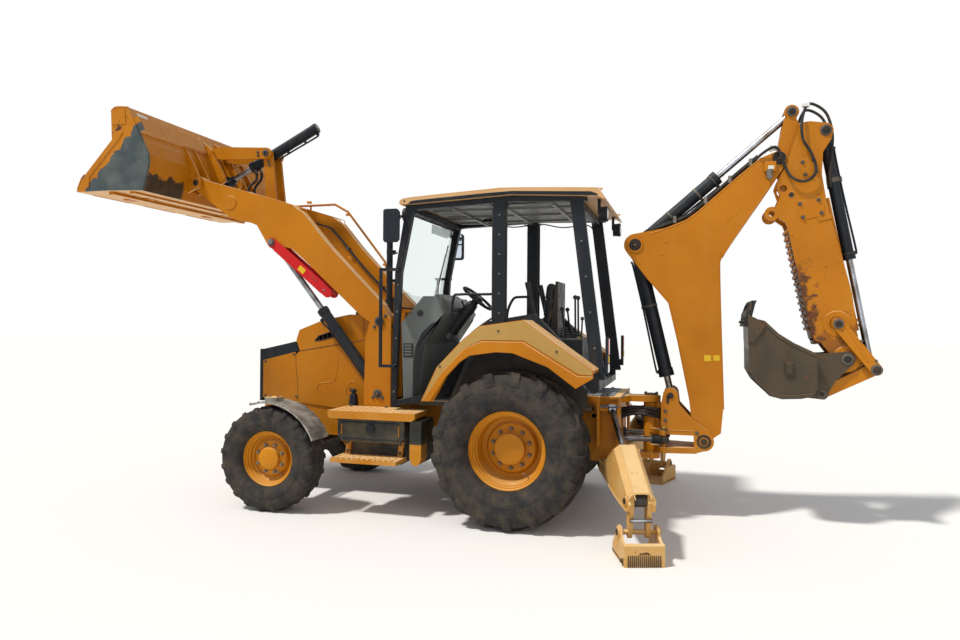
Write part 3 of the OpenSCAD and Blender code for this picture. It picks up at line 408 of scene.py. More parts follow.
    def piece(self, name, body, materials, soften=0.0, angle=38):
        """Closes the mesh, gives it its finishes, and sets it to move with its body."""
        bmesh.ops.recalc_face_normals(self.mesh, faces=self.mesh.faces)
        data = bpy.data.meshes.new(name)
        self.mesh.to_mesh(data)
        self.mesh.free()
        for material in materials:
            data.materials.append(material)
        for face in data.polygons:
            face.use_smooth = True
        data.set_sharp_from_angle(angle=math.radians(angle))
        made = bpy.data.objects.new(name, data)
        bpy.context.collection.objects.link(made)
        if soften:
            bevel = made.modifiers.new("eased_edges", "BEVEL")
            bevel.width = soften / 1000
            bevel.segments = 2
            bevel.limit_method = "ANGLE"
            bevel.angle_limit = math.radians(40)
        if body:
            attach(made, body)
        return made


def make_tyre(name, body, centre, wide, casing, bars, lean, bar_wide, high, reach):
    """casing is one half of the section as (radius, share of half width) from bead to crown."""
    f = Shape()
    half = wide / 2
    profile = [(r, -s * half) for r, s in casing] + [(r, s * half) for r, s in reversed(casing)]
    f.turned(centre, (0, 1, 0), profile, 144)
    outer = [(r, s * half) for r, s in casing if r >= reach]

    def surface(y):
        """Radius of the casing at a distance from the middle of the tread."""
        y = abs(y)
        points = sorted((s, r) for r, s in outer)
        for (a, ra), (b, rb) in zip(points, points[1:]):
            if a <= y <= b:
                return ra + (rb - ra) * (y - a) / max(b - a, 1e-6)
        return points[0][1] if y < points[0][0] else points[-1][1]

    crown = max(r for r, s in casing)
    start = casing[[r for r, s in casing].index(crown)][1] * half
    track = [(0.03 * wide, crown), (start * 0.55, crown), (start * 0.92, crown)]
    track += [(s * half, r) for r, s in reversed(casing) if s * half > start * 0.95 and r >= reach]
    lengths = [0.0]
    for (a, ra), (b, rb) in zip(track, track[1:]):
        lengths.append(lengths[-1] + math.hypot(b - a, rb - ra))
    total = lengths[-1]
    for side in (-1, 1):
        for i in range(bars):
            turn = 2 * math.pi * (i + (0.0 if side < 0 else 0.5)) / bars
            rings = []
            for n, ((y, r), run) in enumerate(zip(track, lengths)):
                t = run / total
                middle = turn + math.radians(lean) * (min(t / 0.62, 1.0) - 0.5)
                tall = high * (1.0 if t < 0.7 else 1.0 - 0.75 * (t - 0.7) / 0.3)
                base = bar_wide * (0.62 + 0.5 * t)
                before = track[max(n - 1, 0)]
                after = track[min(n + 1, len(track) - 1)]
                ny, nr = after[1] - before[1], -(after[0] - before[0])
                size = math.hypot(ny, nr)
                ny, nr = -ny / size, -nr / size
                ring = []
                for share, lift in ((-0.62, -0.5), (-0.44, 0.86), (-0.36, 1.0), (0.36, 1.0),
                                    (0.44, 0.86), (0.62, -0.5)):
                    yy = y + ny * tall * lift * (1 if lift > 0 else 0.6)
                    rr = min(r + nr * tall * lift * (1 if lift > 0 else 0.6), crown + high)
                    yy = min(yy, half - 0.5)
                    a = middle + share * base / r
                    ring.append(f.mesh.verts.new(
                        spot(centre[0] + rr * math.sin(a), centre[1] + side * yy,
                             centre[2] + rr * math.cos(a))))
                rings.append(ring)
            for one, two in zip(rings, rings[1:]):
                for k in range(6):
                    m = (k + 1) % 6
                    f.mesh.faces.new([one[k], one[m], two[m], two[k]])
            f.mesh.faces.new(rings[0])
            f.mesh.faces.new(list(reversed(rings[-1])))
    return f.piece(name, body, [rubber], angle=32)


rear_casing = [(330, 0.62), (341, 0.66), (346, 0.76), (356, 0.84), (372, 0.88), (400, 0.945),
               (440, 0.985), (452, 0.988), (456, 0.978), (480, 0.985), (510, 0.985), (545, 0.965),
               (575, 0.94), (598, 0.90), (615, 0.83), (624, 0.72), (629, 0.5)]
front_casing = [(250, 0.62), (258, 0.67), (262, 0.76), (270, 0.84), (284, 0.89), (305, 0.95),
                (330, 0.985), (340, 0.99), (344, 0.975), (370, 0.98), (400, 0.965), (425, 0.93),
                (442, 0.87), (452, 0.78), (456, 0.5)]
for side, y in (("left", -1), ("right", 1)):
    tyre = make_tyre("rear_tyre_" + side, "wheel_rear_" + side, (0, y * 857, 655), 495,
                     rear_casing, 17, 17, 74, 26, 545)
    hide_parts("tyre_rear_" + side)
    tyre = make_tyre("front_tyre_" + side, "wheel_front_" + side, (-2200, y * 947, 470), 310,
                     front_casing, 20, 14, 44, 14, 400)
    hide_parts("tyre_front_" + side)

# Wheel rims.
# Pressed steel discs in stepped well rims with a thick flat hub flange; sprayed yellow all
# over, with bare grey wheel nuts and a valve in the well.


def enamel(name, *colours, dust_top=1.1, bleach_and_sunlight=0.85, chips=0.66, wear=None):
    """Sprayed paint: faces that look up are painted lighter as if sunlit, partly also sun-faded,
    and sand has covered it from below.

    Its colours are the fresh, deep, bleached and sunlit (painted top light), dusty and chipped
    one, from 0 to 255.
    """
    fresh, deep, bleached_and_sunlit, dusty, chip = (linear(*colour) for colour in colours)
    f = Finish(name, specular=0.22)
    cloud = f.noise(1.6, 5)
    colour = f.over(f.ramp(cloud, 0.35, 0.68), fresh, deep)
    streak = f.noise(7, 5, (1, 1, 0.16))
    colour = f.over(f.ramp(streak, 0.52, 0.75, 0, 0.16), colour, dusty)
    # painted light: faces that look up get the bleached colour, mostly painted sunlight from the
    # high sun and partly sun-faded paint
    top = f.ramp(f.part("Normal", "Z"), 0.35, 0.9)
    sunlight_and_fade = f.maths("MULTIPLY", top, f.ramp(f.noise(2.7, 6), 0.30, 0.55, 0.55, bleach_and_sunlight))
    colour = f.over(sunlight_and_fade, colour, bleached_and_sunlit)
    low = f.ramp(f.part("Object", "Z"), dust_top, 0.20)
    sand = f.maths("MULTIPLY", low, f.ramp(f.noise(4.4, 8, blur=0.62), 0.40, 0.66, 0.04, 0.75))
    colour = f.over(sand, colour, dusty)
    scuff = f.ramp(f.noise(23, 8, (1, 1, 1), 0.66), chips, chips + 0.05)
    colour = f.over(f.maths("MULTIPLY", scuff, 0.75), colour, chip)
    if wear:
        colour = wear(f, colour)
    rough = f.ramp(f.noise(11, 6), 0.3, 0.7, 0.36, 0.60)
    rough = f.maths("MAXIMUM", rough, f.maths("MULTIPLY", f.maths("MAXIMUM", sand, sunlight_and_fade), 0.86))
    dents = f.maths("ADD", f.noise(2.2, 2), f.maths("MULTIPLY", f.noise(160, 2), 0.02))
    f.relief(f.maths("SUBTRACT", dents, f.maths("MULTIPLY", scuff, 0.05)), 0.35, 0.012)
    return f.done(colour, rough)


wheel_yellow = enamel("wheel_enamel", (196, 126, 18), (178, 112, 10),
                      (220, 178, 110), (178, 140, 80), (96, 78, 54),
                      dust_top=0.35, bleach_and_sunlight=0.55, chips=0.70)
nut_steel = enamel("wheel_nut_steel", (118, 114, 106), (92, 88, 82),
                   (150, 140, 124), (136, 118, 92), (96, 66, 42), chips=0.6)


def make_rim(name, body, centre, side, b, half, hub_r, disc, hub_out, nuts, nut_r, marks):
    """b is the bead's radius, half the half width, and disc how far out the disc stands."""
    f = Shape()
    profile = [(hub_r + 8, disc - 30), (b * 0.60, disc - 30), (b * 0.68, disc - 60),
               (b - 64, disc - 64), (b - 52, -half * 0.7), (b - 20, -half), (b - 1, -half),
               (b - 1, half - 22), (b - 1, half - 6), (b - 4, half), (b - 9, half),
               (b - 13, half - 6), (b - 17, half - 22), (b - 27, half - 26), (b - 30, half - 44),
               (b - 42, half - 50), (b - 45, half - 74), (b - 56, half - 84), (b - 60, disc - 30),
               (b - 66, disc - 44), (b * 0.68, disc - 46), (b * 0.62, disc - 6), (b * 0.585, disc),
               (hub_r + 8, disc)]
    f.turned(centre, (0, side, 0), profile, 72)
    f.turned(centre, (0, side, 0), [
        (0, disc - 30), (hub_r + 12, disc - 30), (hub_r + 12, disc + 3), (hub_r + 3, disc + 5),
        (hub_r, disc + 9), (hub_r, hub_out - 8), (hub_r - 5, hub_out - 2), (hub_r - 9, hub_out),
        (0, hub_out)], 56)
    x, y, z = centre
    for i in range(nuts):
        a = 2 * math.pi * (i + 0.5) / nuts
        place = (x + nut_r * math.cos(a), y + side * disc, z + nut_r * math.sin(a))
        f.rod(place, (place[0], place[1] + side * 9, place[2]), 19, 15, 20, 1)
        f.bolt((place[0], place[1] + side * 8, place[2]), (0, side, 0), 28, 1, False)
        f.rod((place[0], place[1] + side * 20, place[2]),
              (place[0], place[1] + side * 31, place[2]), 9, 8, 12, 1)
    for i in range(marks):
        a = 2 * math.pi * (i + 0.25) / marks
        place = (x + hub_r * 0.52 * math.cos(a), y + side * hub_out,
                 z + hub_r * 0.52 * math.sin(a))
        f.rod(place, (place[0], place[1] + side * 3, place[2]), 8, 7, 12, 0)
    a = math.radians(-52)
    root = (x + (b - 50) * math.cos(a), y + side * (half - 78), z + (b - 50) * math.sin(a))
    tip = (x + (b - 92) * math.cos(a), y + side * (half - 40), z + (b - 92) * math.sin(a))
    f.rod(root, tip, 5, 5, 10, 1)
    f.rod(tip, (tip[0] - 8, tip[1] + side * 10, tip[2] + 9), 7, 6, 10, 1)
    return f.piece(name, body, [wheel_yellow, nut_steel], angle=30)


for side, y in (("left", -1), ("right", 1)):
    rim = make_rim("rear_rim_" + side, "wheel_rear_" + side, (0, y * 857, 655), y, 330, 153,
                   130, -20, 62, 10, 165, 6)
    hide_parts("rim_rear_" + side)
    rim = make_rim("front_rim_" + side, "wheel_front_" + side, (-2200, y * 947, 470), y, 250, 96,
                   100, 40, 86, 8, 128, 5)
    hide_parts("rim_front_" + side)

# Painted plate of the frame, hood, arms, boom and stick.
# Orange-yellow paint sprayed on welded plate: the faces that look up are painted lighter tan,
# mostly painted sunlight and partly sun-faded paint; low parts are dusty, and it is scuffed to
# dark primer in places.
yellow = enamel("yellow_enamel", (184, 114, 4), (170, 102, 2),
                (234, 196, 142), (176, 132, 62), (74, 56, 38))
coat_node(yellow, "chassis", "loader_tower", "rear_fenders", "hood_sides",
          "hood_lid", "loader_arms", "tilt_lever", "tilt_link", "swing_post", "boom", "stick",
          "guide_link", "bucket_link")

# Loader bucket fittings.
# A welded plate bucket: hinge collars, weld beads and one blank plate on the back of the spill
# guard.


def bucket_wear_and_ground_bounce(f, colour):
    """Paint gone from the side plates below their strips, from the lip and low on the back.

    Faces that look down are painted pale tan: painted light bounced up from the ground.
    """
    x = f.part("Object", "X")
    y = f.maths("ABSOLUTE", f.part("Object", "Y"))
    z = f.part("Object", "Z")
    ragged = f.ramp(f.noise(11, 8, blur=0.6), 0.3, 0.7, -0.03, 0.03)
    # slant is the distance in metres past the strip that slopes across each side plate
    slant = f.maths("SUBTRACT", f.maths("MULTIPLY", x, 0.7123), f.maths("MULTIPLY", z, 0.7023))
    slant = f.maths("ADD", f.maths("ADD", slant, 4.6390), ragged)
    side = f.maths("MULTIPLY", f.ramp(y, 1.098, 1.104), f.ramp(y, 1.1335, 1.1325))
    bare = f.over(f.ramp(f.noise(5, 6), 0.4, 0.65), linear(62, 72, 74), linear(88, 94, 92))
    grime = f.over(f.ramp(f.noise(8, 6), 0.4, 0.65), linear(52, 38, 26), linear(76, 58, 38))
    colour = f.over(f.maths("MULTIPLY", side, f.ramp(slant, 0.05, 0.062)), colour, bare)
    front = f.maths("MULTIPLY", side, f.ramp(slant, -0.05, -0.075))
    dark = f.maths("MULTIPLY", front,
                   f.ramp(f.maths("ADD", z, f.maths("MULTIPLY", ragged, 4)), 3.60, 3.48))
    colour = f.over(dark, colour, grime)
    lip = f.maths("MULTIPLY", front, f.ramp(z, 3.12, 3.08))
    colour = f.over(lip, colour, linear(84, 100, 106))
    back = f.maths("MULTIPLY", f.ramp(x, -2.96, -2.92),
                   f.ramp(f.maths("ADD", z, f.maths("MULTIPLY", ragged, 1.6)), 3.10, 3.08))
    back = f.maths("MULTIPLY", back,
                   f.maths("MULTIPLY", f.ramp(y, 0.56, 0.60), f.ramp(y, 1.105, 1.10)))
    colour = f.over(back, colour, grime)
    # painted light: faces that look down are laid over with pale tan, a painted reflection of
    # light bounced up from the ground
    under = f.ramp(f.part("Normal", "Z"), -0.5, -0.9, 0, 0.8)
    return f.over(under, colour, linear(226, 184, 130))


worn_yellow = enamel("bucket_enamel", (184, 114, 6), (170, 102, 3),
                     (230, 192, 140), (190, 148, 86), (80, 58, 36), chips=0.62,
                     wear=bucket_wear_and_ground_bounce)
coat_node(worn_yellow, "loader_bucket")

blank_label = enamel("blank_label", (216, 214, 206), (204, 202, 194),
                     (226, 220, 206), (190, 178, 156), (150, 140, 126), chips=0.72)

bucket_pin, bucket_link_pin, bucket_rod_pin = (-3380, 3100), (-3493, 3486), (-3336, 3199)
crank_top, crank_foot = (-2822, 3455), (-2760, 2841)
lift_pin, lift_base, arm_pivot = (-2520, 2480), (-1370, 1035), (-1355, 1713)

f = Shape()
for side in (-1, 1):
    f.boss(bucket_pin[0], side * 507, bucket_pin[1],
           [(33, -1), (54, -1), (54, 8), (50, 11), (33, 11)], 40)
    for x, z in (bucket_link_pin, bucket_rod_pin):
        f.boss(x, side * 160, z, [(24, -1), (38, -1), (38, 4), (24, 5)], 32)
f.piece("bucket_collars", "loader_bucket", [yellow])

f = Shape()
for side in (-1, 1):
    y = side * 1131 * 0.998
    f.tube([(-4250, y, 2960), (-4182, y, 3088), (-4100, y, 3094)], 7, 8)
    f.tube([(-3862, y, 3690), (-3805, y, 3724), (-3668, y, 3714)], 7, 8)
    for yy in (353, 487):
        line = [(-3628, side * yy, 3622), (-3556, side * yy, 3535), (-3500, side * yy, 3430)]
        f.tube(line, 6, 6)
for y in (-700, 0, 700):
    f.rod((-4240, y - 250, 2936), (-4240, y + 250, 2936), 5, 5, 8)
f.piece("bucket_weld_beads", "loader_bucket", [yellow])

f = Shape()
slope = Vector((104, 0, -205)).normalized()
out = Vector((205, 0, 104)).normalized() / 1000
corner = spot(-3650, -1040, 3677)
wide = Vector((0, 0.135, 0))
down = slope * 0.085
f.prism([corner + out, corner + wide + out, corner + wide + down + out, corner + down + out],
        out * 3)
f.piece("bucket_blank_plate", "loader_bucket", [blank_label], soften=0.8)

# the underside has two shallow stiffening strips
f = Shape()
for y in (-620, 620):
    f.solid((-4120, y - 60, 2926), (-3560, y + 60, 2937))
f.piece("bucket_under_strips", "loader_bucket", [yellow], soften=2)

# Loader arms.
# Box section arms: pins with grease heads, weld rings round the cross tube, the rail's clips.
pin_black = enamel("pin_black", (40, 36, 34), (28, 26, 26), (90, 76, 60),
                   (110, 88, 62), (92, 62, 40), chips=0.6)

bolt_steel = enamel("bolt_steel", (96, 90, 82), (66, 60, 54), (140, 124, 100),
                    (128, 106, 78), (106, 66, 40), chips=0.58)

black = enamel("black_enamel", (24, 30, 37), (17, 22, 28), (84, 84, 82),
               (96, 86, 72), (58, 52, 46), dust_top=0.9, bleach_and_sunlight=0.45)
coat_node(black, "cab_frame", "nose_grille", "exhaust", "tilt_barrel", "lift_barrels",
          "boom_barrel", "stick_barrel", "bucket_barrel", "swing_barrels", "leg_barrel_left",
          "leg_barrel_right", "lamps")


def along(a, b, d):
    """The side point at distance d from a towards b; both are (x, z)."""
    length = math.hypot(b[0] - a[0], b[1] - a[1])
    return (a[0] + (b[0] - a[0]) * d / length, a[1] + (b[1] - a[1]) * d / length)


def on_line(a, b, d, y, off=0.0):
    """The point at distance d along a side line at width y, off to its upper side."""
    x, z = along(a, b, d)
    length = math.hypot(b[0] - a[0], b[1] - a[1])
    nx, nz = -(b[1] - a[1]) / length, (b[0] - a[0]) / length
    if nz < 0:
        nx, nz = -nx, -nz
    return (x + nx * off, y, z + nz * off)


def pin_ends(name, body, rows):
    """Black pin heads on washers; each row is (x, z, y of the face, radius)."""
    f = Shape()
    for x, z, y, radius in rows:
        side = 1 if y > 0 else -1
        f.boss(x, y, z, [(0, -1), (radius + 16, -1), (radius + 16, 3), (radius + 14, 4.5),
                         (0, 4.5)], 36, [1] * 5)
        f.pin_head((x, y + side * 4, z), (0, side, 0), radius, 8)
    f.piece(name, body, [pin_black, bolt_steel])


def both_sides(rows):
    """Rows for the right side and the same rows for the left."""
    return rows + [(x, z, -y, r) for x, z, y, r in rows]


pin_ends("arm_pin_heads", "loader_arms", both_sides([(bucket_pin[0], bucket_pin[1], 512, 26),
                                                     (lift_pin[0], lift_pin[1], 495, 20)]))
f = Shape()
for side in (-1, 1):
    f.boss(-3002, side * 475, 2889, [(64, -1), (73, -1), (71, 4), (66, 9)], 44)
    f.boss(arm_pivot[0], side * 475, arm_pivot[1], [(34.5, -1), (58, -1), (56, 6), (35, 7)], 40)
    for x, z in ((-2870, 2950), (-2600, 2905), (-2149, 2884), (-1709, 2336)):
        f.solid((x - 22, side * 420 - 16, z - 26), (x + 22, side * 420 + 16, z - 4), ease=3)
f.piece("arm_weld_rings", "loader_arms", [yellow], soften=1)

# long weld seams where the side plates meet the top and bottom plates
f = Shape()
top_line = [(-3322, 3134), (-2319, 2847), (-2194, 2759), (-1890, 2413), (-1337, 1866)]
low_line = [(-1572, 1775), (-2185, 2320), (-2388, 2470)]
for y in (-475, -365, 365, 475):
    for line in (top_line, low_line):
        f.tube([(x, y * (0.9955 if abs(y) > 400 else 1.005), z) for x, z in line], 4, 6)
f.piece("arm_seams", "loader_arms", [yellow])

# blank plate where the arm carries a label
f = Shape()
for side in (-1, 1):
    corner = [on_line((-1890, 2413), (-1337, 1866), d, side * 475, -o)
              for d, o in ((40, 60), (290, 60), (290, 170), (40, 170))]
    f.prism([spot(*p) for p in corner], Vector((0, side * 0.0016, 0)))
f.piece("arm_blank_plates", "loader_arms", [yellow], soften=0.5)

# two steel pipes run down the inner face of each arm, with clips
f = Shape()
for side in (-1, 1):
    for k, y in enumerate((345, 322)):
        f.tube([(-2960 + 40 * k, side * y, 2872), (-2380, side * y, 2742), (-2230, side * y, 2640),
                (-1900, side * y, 2270), (-1500, side * y, 1880)], 9, 8)
    for x, z in ((-2700, 2812), (-2100, 2488), (-1700, 2072)):
        f.solid((x - 16, side * 333 - 28, z - 15), (x + 16, side * 333 + 32, z + 15), 1, ease=2)
f.piece("arm_pipes", "loader_arms", [black, bolt_steel])

# Bell crank, link and tilt cylinder.
# Two flat bars with bolted pin keepers; a black cylinder with a pipe along its underside, two
# hose loops at its gland and a black rod eye.


def chrome(name):
    """Bright plating on the rods, dulled here and there by an oily film of dust."""
    f = Finish(name, metal=1.0)
    fine = f.noise(60, 4, (1, 1, 1))
    colour = f.over(f.ramp(f.noise(6, 5), 0.40, 0.62), linear(158, 162, 170), linear(104, 98, 90))
    f.relief(fine, 0.05, 0.001)
    return f.done(colour, f.ramp(f.noise(14, 5), 0.3, 0.7, 0.18, 0.42))


steel = chrome("rod_chrome")
coat_node(steel, "tilt_rod", "lift_rods", "boom_rod", "stick_rod", "bucket_rod", "swing_rod_left",
          "swing_rod_right", "leg_rod_left", "leg_rod_right")

hose_rubber = tyre_rubber("hose_rubber")


def bolt_rows(name, body, rows, across=24):
    """Hexagon heads; each row is a face point and the way it points."""
    f = Shape()
    for place, way in rows:
        f.bolt(place, way, across)
    f.piece(name, body, [bolt_steel])


def side_bolts(name, body, y, places, across=24):
    """The same heads on both sides of the machine, on faces at one width."""
    bolt_rows(name, body, [((x, side * y, z), (0, side, 0))
                           for side in (-1, 1) for x, z in places], across)


def clamp_ring(f, a, b, d, y, radius, wide=26, slot=0):
    """A band round a bar that runs from a to b in the side view."""
    start = along(a, b, d - wide / 2)
    stop = along(a, b, d + wide / 2)
    f.rod((start[0], y, start[1]), (stop[0], y, stop[1]), radius, sides=32, slot=slot)


tilt_line = (crank_top, bucket_rod_pin)
pin_ends("crank_pin_heads", "tilt_lever", both_sides([(crank_top[0], crank_top[1], 136, 20)]))
side_bolts("crank_bolts", "tilt_lever", 95,
           [(crank_top[0] + 12, crank_top[1] - 82), (crank_top[0] + 22, crank_top[1] - 118),
            (crank_foot[0] - 24, crank_foot[1] + 86), (crank_foot[0] + 18, crank_foot[1] + 88)],
           20)
side_bolts("link_bolts", "tilt_link", 128,
           [(crank_top[0] - 96, crank_top[1] + 14), (crank_top[0] - 92, crank_top[1] - 20)], 20)
pin_ends("link_pin_heads", "tilt_link",
         both_sides([(bucket_link_pin[0], bucket_link_pin[1], 129, 15)]))

f = Shape()
f.rod(on_line(*tilt_line, -585, 0), on_line(*tilt_line, -592, 0), 40, 37, 36, 1)
f.rod(on_line(*tilt_line, -590, 0), on_line(*tilt_line, -598, 0), 15, 12, 24, 2)
clamp_ring(f, *tilt_line, 250, 0, 61, 34)
clamp_ring(f, *tilt_line, -560, 0, 55, 26)
f.tube([on_line(*tilt_line, d, 0, off) for d, off in
        ((-560, -50), (-556, -78), (-500, -82), (-200, -76), (-80, -78), (-50, -96))], 9, 10)
f.rod(on_line(*tilt_line, -560, 0, -48), on_line(*tilt_line, -560, 0, -74), 17, sides=16)
for d in (-400, -180):
    f.rod(on_line(*tilt_line, d - 9, 0, -64), on_line(*tilt_line, d + 9, 0, -64), 20, sides=16)
f.rod(on_line(*tilt_line, 250, 0, -55), on_line(*tilt_line, 250, 0, -84), 17, sides=16)
f.piece("tilt_barrel_fittings", "tilt_barrel", [black, bolt_steel, steel])

f = Shape()
for y, d in ((-22, 238), (22, 205)):
    f.rod(on_line(*tilt_line, d, y, -40), on_line(*tilt_line, d, y, -92), 13, 11, 14, 1)
    start = on_line(*tilt_line, d, y, -88)
    f.tube([start, (start[0] - 6, y, start[2] - 70), (-3070 + y, y, 3120), (-3060 + y, y, 3020),
            (-3010, y, 2958)], 14, 12)
f.piece("tilt_hoses", "tilt_barrel", [hose_rubber, bolt_steel])

f = Shape()
f.turned((bucket_rod_pin[0], 0, bucket_rod_pin[1]), (0, 1, 0),
         [(26, -46), (46, -46), (49, -42), (49, 42), (46, 46), (26, 46)], 36)
f.rod(on_line(bucket_rod_pin, crank_top, 40, 0), on_line(bucket_rod_pin, crank_top, 74, 0), 40, 34,
      28)
f.piece("tilt_rod_eye", "tilt_rod", [black], soften=1.5)

# Lift cylinders.
# Black barrels with worn patches, a pipe along the top and a bolted gland.
lift_line = (lift_base, lift_pin)
f = Shape()
for side in (-1, 1):
    y = side * 420
    clamp_ring(f, *lift_line, 985, y, 57, 40)
    clamp_ring(f, *lift_line, 1005, y, 52, 14)
    clamp_ring(f, *lift_line, 70, y, 55, 20)
    f.rod(on_line(*lift_line, 930, y, -44), on_line(*lift_line, 930, y, -74), 16, sides=16)
    f.rod(on_line(*lift_line, 940, y, -72), on_line(*lift_line, 905, y, -72), 14, 12, 16)
    f.tube([on_line(*lift_line, d, y, off) for d, off in
            ((930, -72), (880, -76), (820, -62), (700, -57), (180, -57), (130, -70))], 9, 10)
    for d in (760, 420, 200):
        clamp_ring(f, *lift_line, d, y, 52, 16)
    f.bolt((lift_base[0], side * 512, lift_base[1]), (0, side, 0), 34, 1)
f.piece("lift_barrel_fittings", "lift_barrels", [black, bolt_steel])

f = Shape()
for side in (-1, 1):
    y = side * 420
    f.turned((lift_pin[0], y, lift_pin[1]), (0, 1, 0),
             [(24.5, -33), (48, -33), (51, -30), (51, 30), (48, 33), (24.5, 33)], 36)
f.piece("lift_rod_eyes", "lift_rods", [black])

# Safety strut.
# A red folded channel hung on the lift pin, with a blank label, a silver retaining pin and a
# chain of stitch welds along its edges.
red = enamel("red_enamel", (196, 26, 30), (178, 20, 24), (214, 84, 74),
             (190, 100, 80), (90, 30, 26))
coat_node(red, "lock_strut")

yellow_label = enamel("yellow_label", (214, 176, 40), (206, 166, 32),
                      (220, 190, 110), (190, 156, 90), (120, 100, 60), chips=0.72)

strut_line = (lift_pin, along(lift_pin, (-1915, 1985), 790))
f = Shape()
f.rod((lift_pin[0] - 4, -500, lift_pin[1] + 6), (lift_pin[0] - 4, -512, lift_pin[1] + 6), 30, 27,
      28, 1)
f.rod((lift_pin[0] - 4, -511, lift_pin[1] + 6), (lift_pin[0] - 4, -517, lift_pin[1] + 6), 11, 9,
      20, 1)
f.prism([spot(*on_line(*strut_line, d, -492, off)) for d, off in
         ((392, -26), (470, -26), (470, 26), (392, 26))], Vector((0, -0.0015, 0)), 2)
for d in (560, 600):
    f.rod(on_line(*strut_line, d, -491, 22), on_line(*strut_line, d + 26, -493, 10), 5, 4, 8, 3)
for off in (44, -44):
    f.rod(on_line(*strut_line, 60, -486, off), on_line(*strut_line, 730, -486, off), 5, 5, 8)
f.rod(on_line(*strut_line, 742, -498, 0), on_line(*strut_line, 742, -342, 0), 9, 9, 14, 1)
f.piece("strut_fittings", "loader_arms", [red, steel, yellow_label, bolt_steel])

# Hood, nose and exhaust.
# Pressed sheet panels: a raised panel outline on each side, shut lines with quarter-turn
# fasteners, rubber edging round the vent, and the breather box that stands on the tank.
cast = enamel("cast_iron_dusty", (58, 54, 50), (44, 42, 40), (104, 92, 76),
              (116, 98, 76), (40, 36, 32), dust_top=1.4)
coat_node(cast, "axles", "engine_block", "cab_floor")

f = Shape()
for side in (-1, 1):
    y = side * 325 * 0.9975
    for line in (
            [(-1890, 1400), (-1876, 1340), (-1894, 1180), (-1930, 1120), (-2060, 1096),
             (-2094, 1066), (-2100, 1010)],
            [(-1690, 1130), (-1740, 1110), (-1780, 1050), (-1786, 1000)]):
        f.tube([(x, y, z) for x, z in line], 4.5, 8)
f.piece("hood_pressed_lines", "frame", [yellow])

f = Shape()
for side in (-1, 1):
    y = side * 325 * 0.999
    f.tube([(-2338, y, 1400), (-2334, y, 1250), (-2316, y, 1080), (-2306, y, 912)], 2.2, 6)
    f.tube([(-2300, y, 1412), (-1990, y, 1464), (-1604, y, 1528)], 2.6, 6)
f.piece("hood_shut_lines", "frame", [pin_black])

f = Shape()
for side in (-1, 1):
    y = side * 325
    rim = [(-2129, 1514), (-2086, 1564), (-1923, 1615), (-1858, 1590), (-1900, 1560),
           (-2060, 1520), (-2129, 1514)]
    for a, b in zip(rim, rim[1:]):
        f.rod((a[0], y, a[1]), (b[0], y, b[1]), 5, 5, 8)
    for i in range(5):
        x0 = -2090 + i * 46
        f.solid((x0, min(y, y - side * 20), 1524 + i * 7),
                (x0 + 8, max(y - side * 2, y - side * 20), 1566 + i * 9))
f.piece("hood_vent_edging", "hood", [pin_black])

side_bolts("hood_fasteners", "frame", 325,
           [(-2680, 1300), (-2360, 1378), (-2330, 960),
            (-1575, 1380), (-1575, 960), (-2680, 960)], 17)

f = Shape()
for side in (-1, 1):
    y = side * 420
    f.solid((-1694, y - 34, 905), (-1622, y + 34, 1016), ease=9)
    for low, high, r, far, sides in ((1010, 1040, 22, 20, 24), (1038, 1052, 33, 33, 28),
                                     (1052, 1066, 24, 18, 28)):
        f.rod((-1658, y, low), (-1658, y, high), r, far, sides)
    f.tube([(-1690, y, 1034), (-1700, y, 1058), (-1680, y, 1072)], 5, 8)
f.piece("tank_breathers", "frame", [black], soften=2)

f = Shape()
pipe_x, pipe_y = -1550, 175
f.rod((pipe_x, pipe_y, 1790), (pipe_x, pipe_y, 1808), 60, 60, 36)
f.rod((pipe_x, pipe_y, 2560), (pipe_x, pipe_y, 2578), 36, 36, 36)
for k in range(6):
    f.rod((pipe_x, pipe_y, 1960 + 90 * k), (pipe_x, pipe_y, 1966 + 90 * k), 33.5, 33.5, 32)
f.solid((-1600, 205, 2120), (-1500, 222, 2150))
f.solid((-1600, 205, 2420), (-1500, 222, 2450))
f.piece("exhaust_bands", "frame", [black])

# the hood's two hinge eyes on the cowl
f = Shape()
for y in (-220, 220):
    f.rod((-1602, y - 26, 1788), (-1602, y + 26, 1788), 9, 9, 14)
f.piece("hood_hinge_eyes", "frame", [black])

# nose: fine mesh behind the slats, head lamps set in the grille, tow pin in the front block
f = Shape()
for k in range(12):
    y = -250 + k * 45.5
    f.rod((-2719, y, 962), (-2719, y, 1378), 2, 2, 6)
for k in range(9):
    f.rod((-2719, -272, 980 + 46 * k), (-2719, 272, 980 + 46 * k), 2, 2, 6)
f.piece("grille_mesh", "frame", [pin_black])
f = Shape()
for y in (-206, 206):
    f.turned((-2734, y, 1330), (-1, 0, 0),
             [(0, -8), (40, -8), (40, 2), (36, 5), (28, 1), (0, 3)], 36, [0, 0, 0, 0, 1, 1])
f.piece("head_lamps", "frame", [black, blank_label])
f = Shape()
f.rod((-2640, 0, 880), (-2640, 0, 930), 22, 22, 24)
f.turned((-2640, 0, 925), (0, 0, 1), [(0, 0), (34, 0), (34, 10), (28, 16), (0, 18)], 30)
f.piece("front_tow_pin", "frame", [nut_steel])

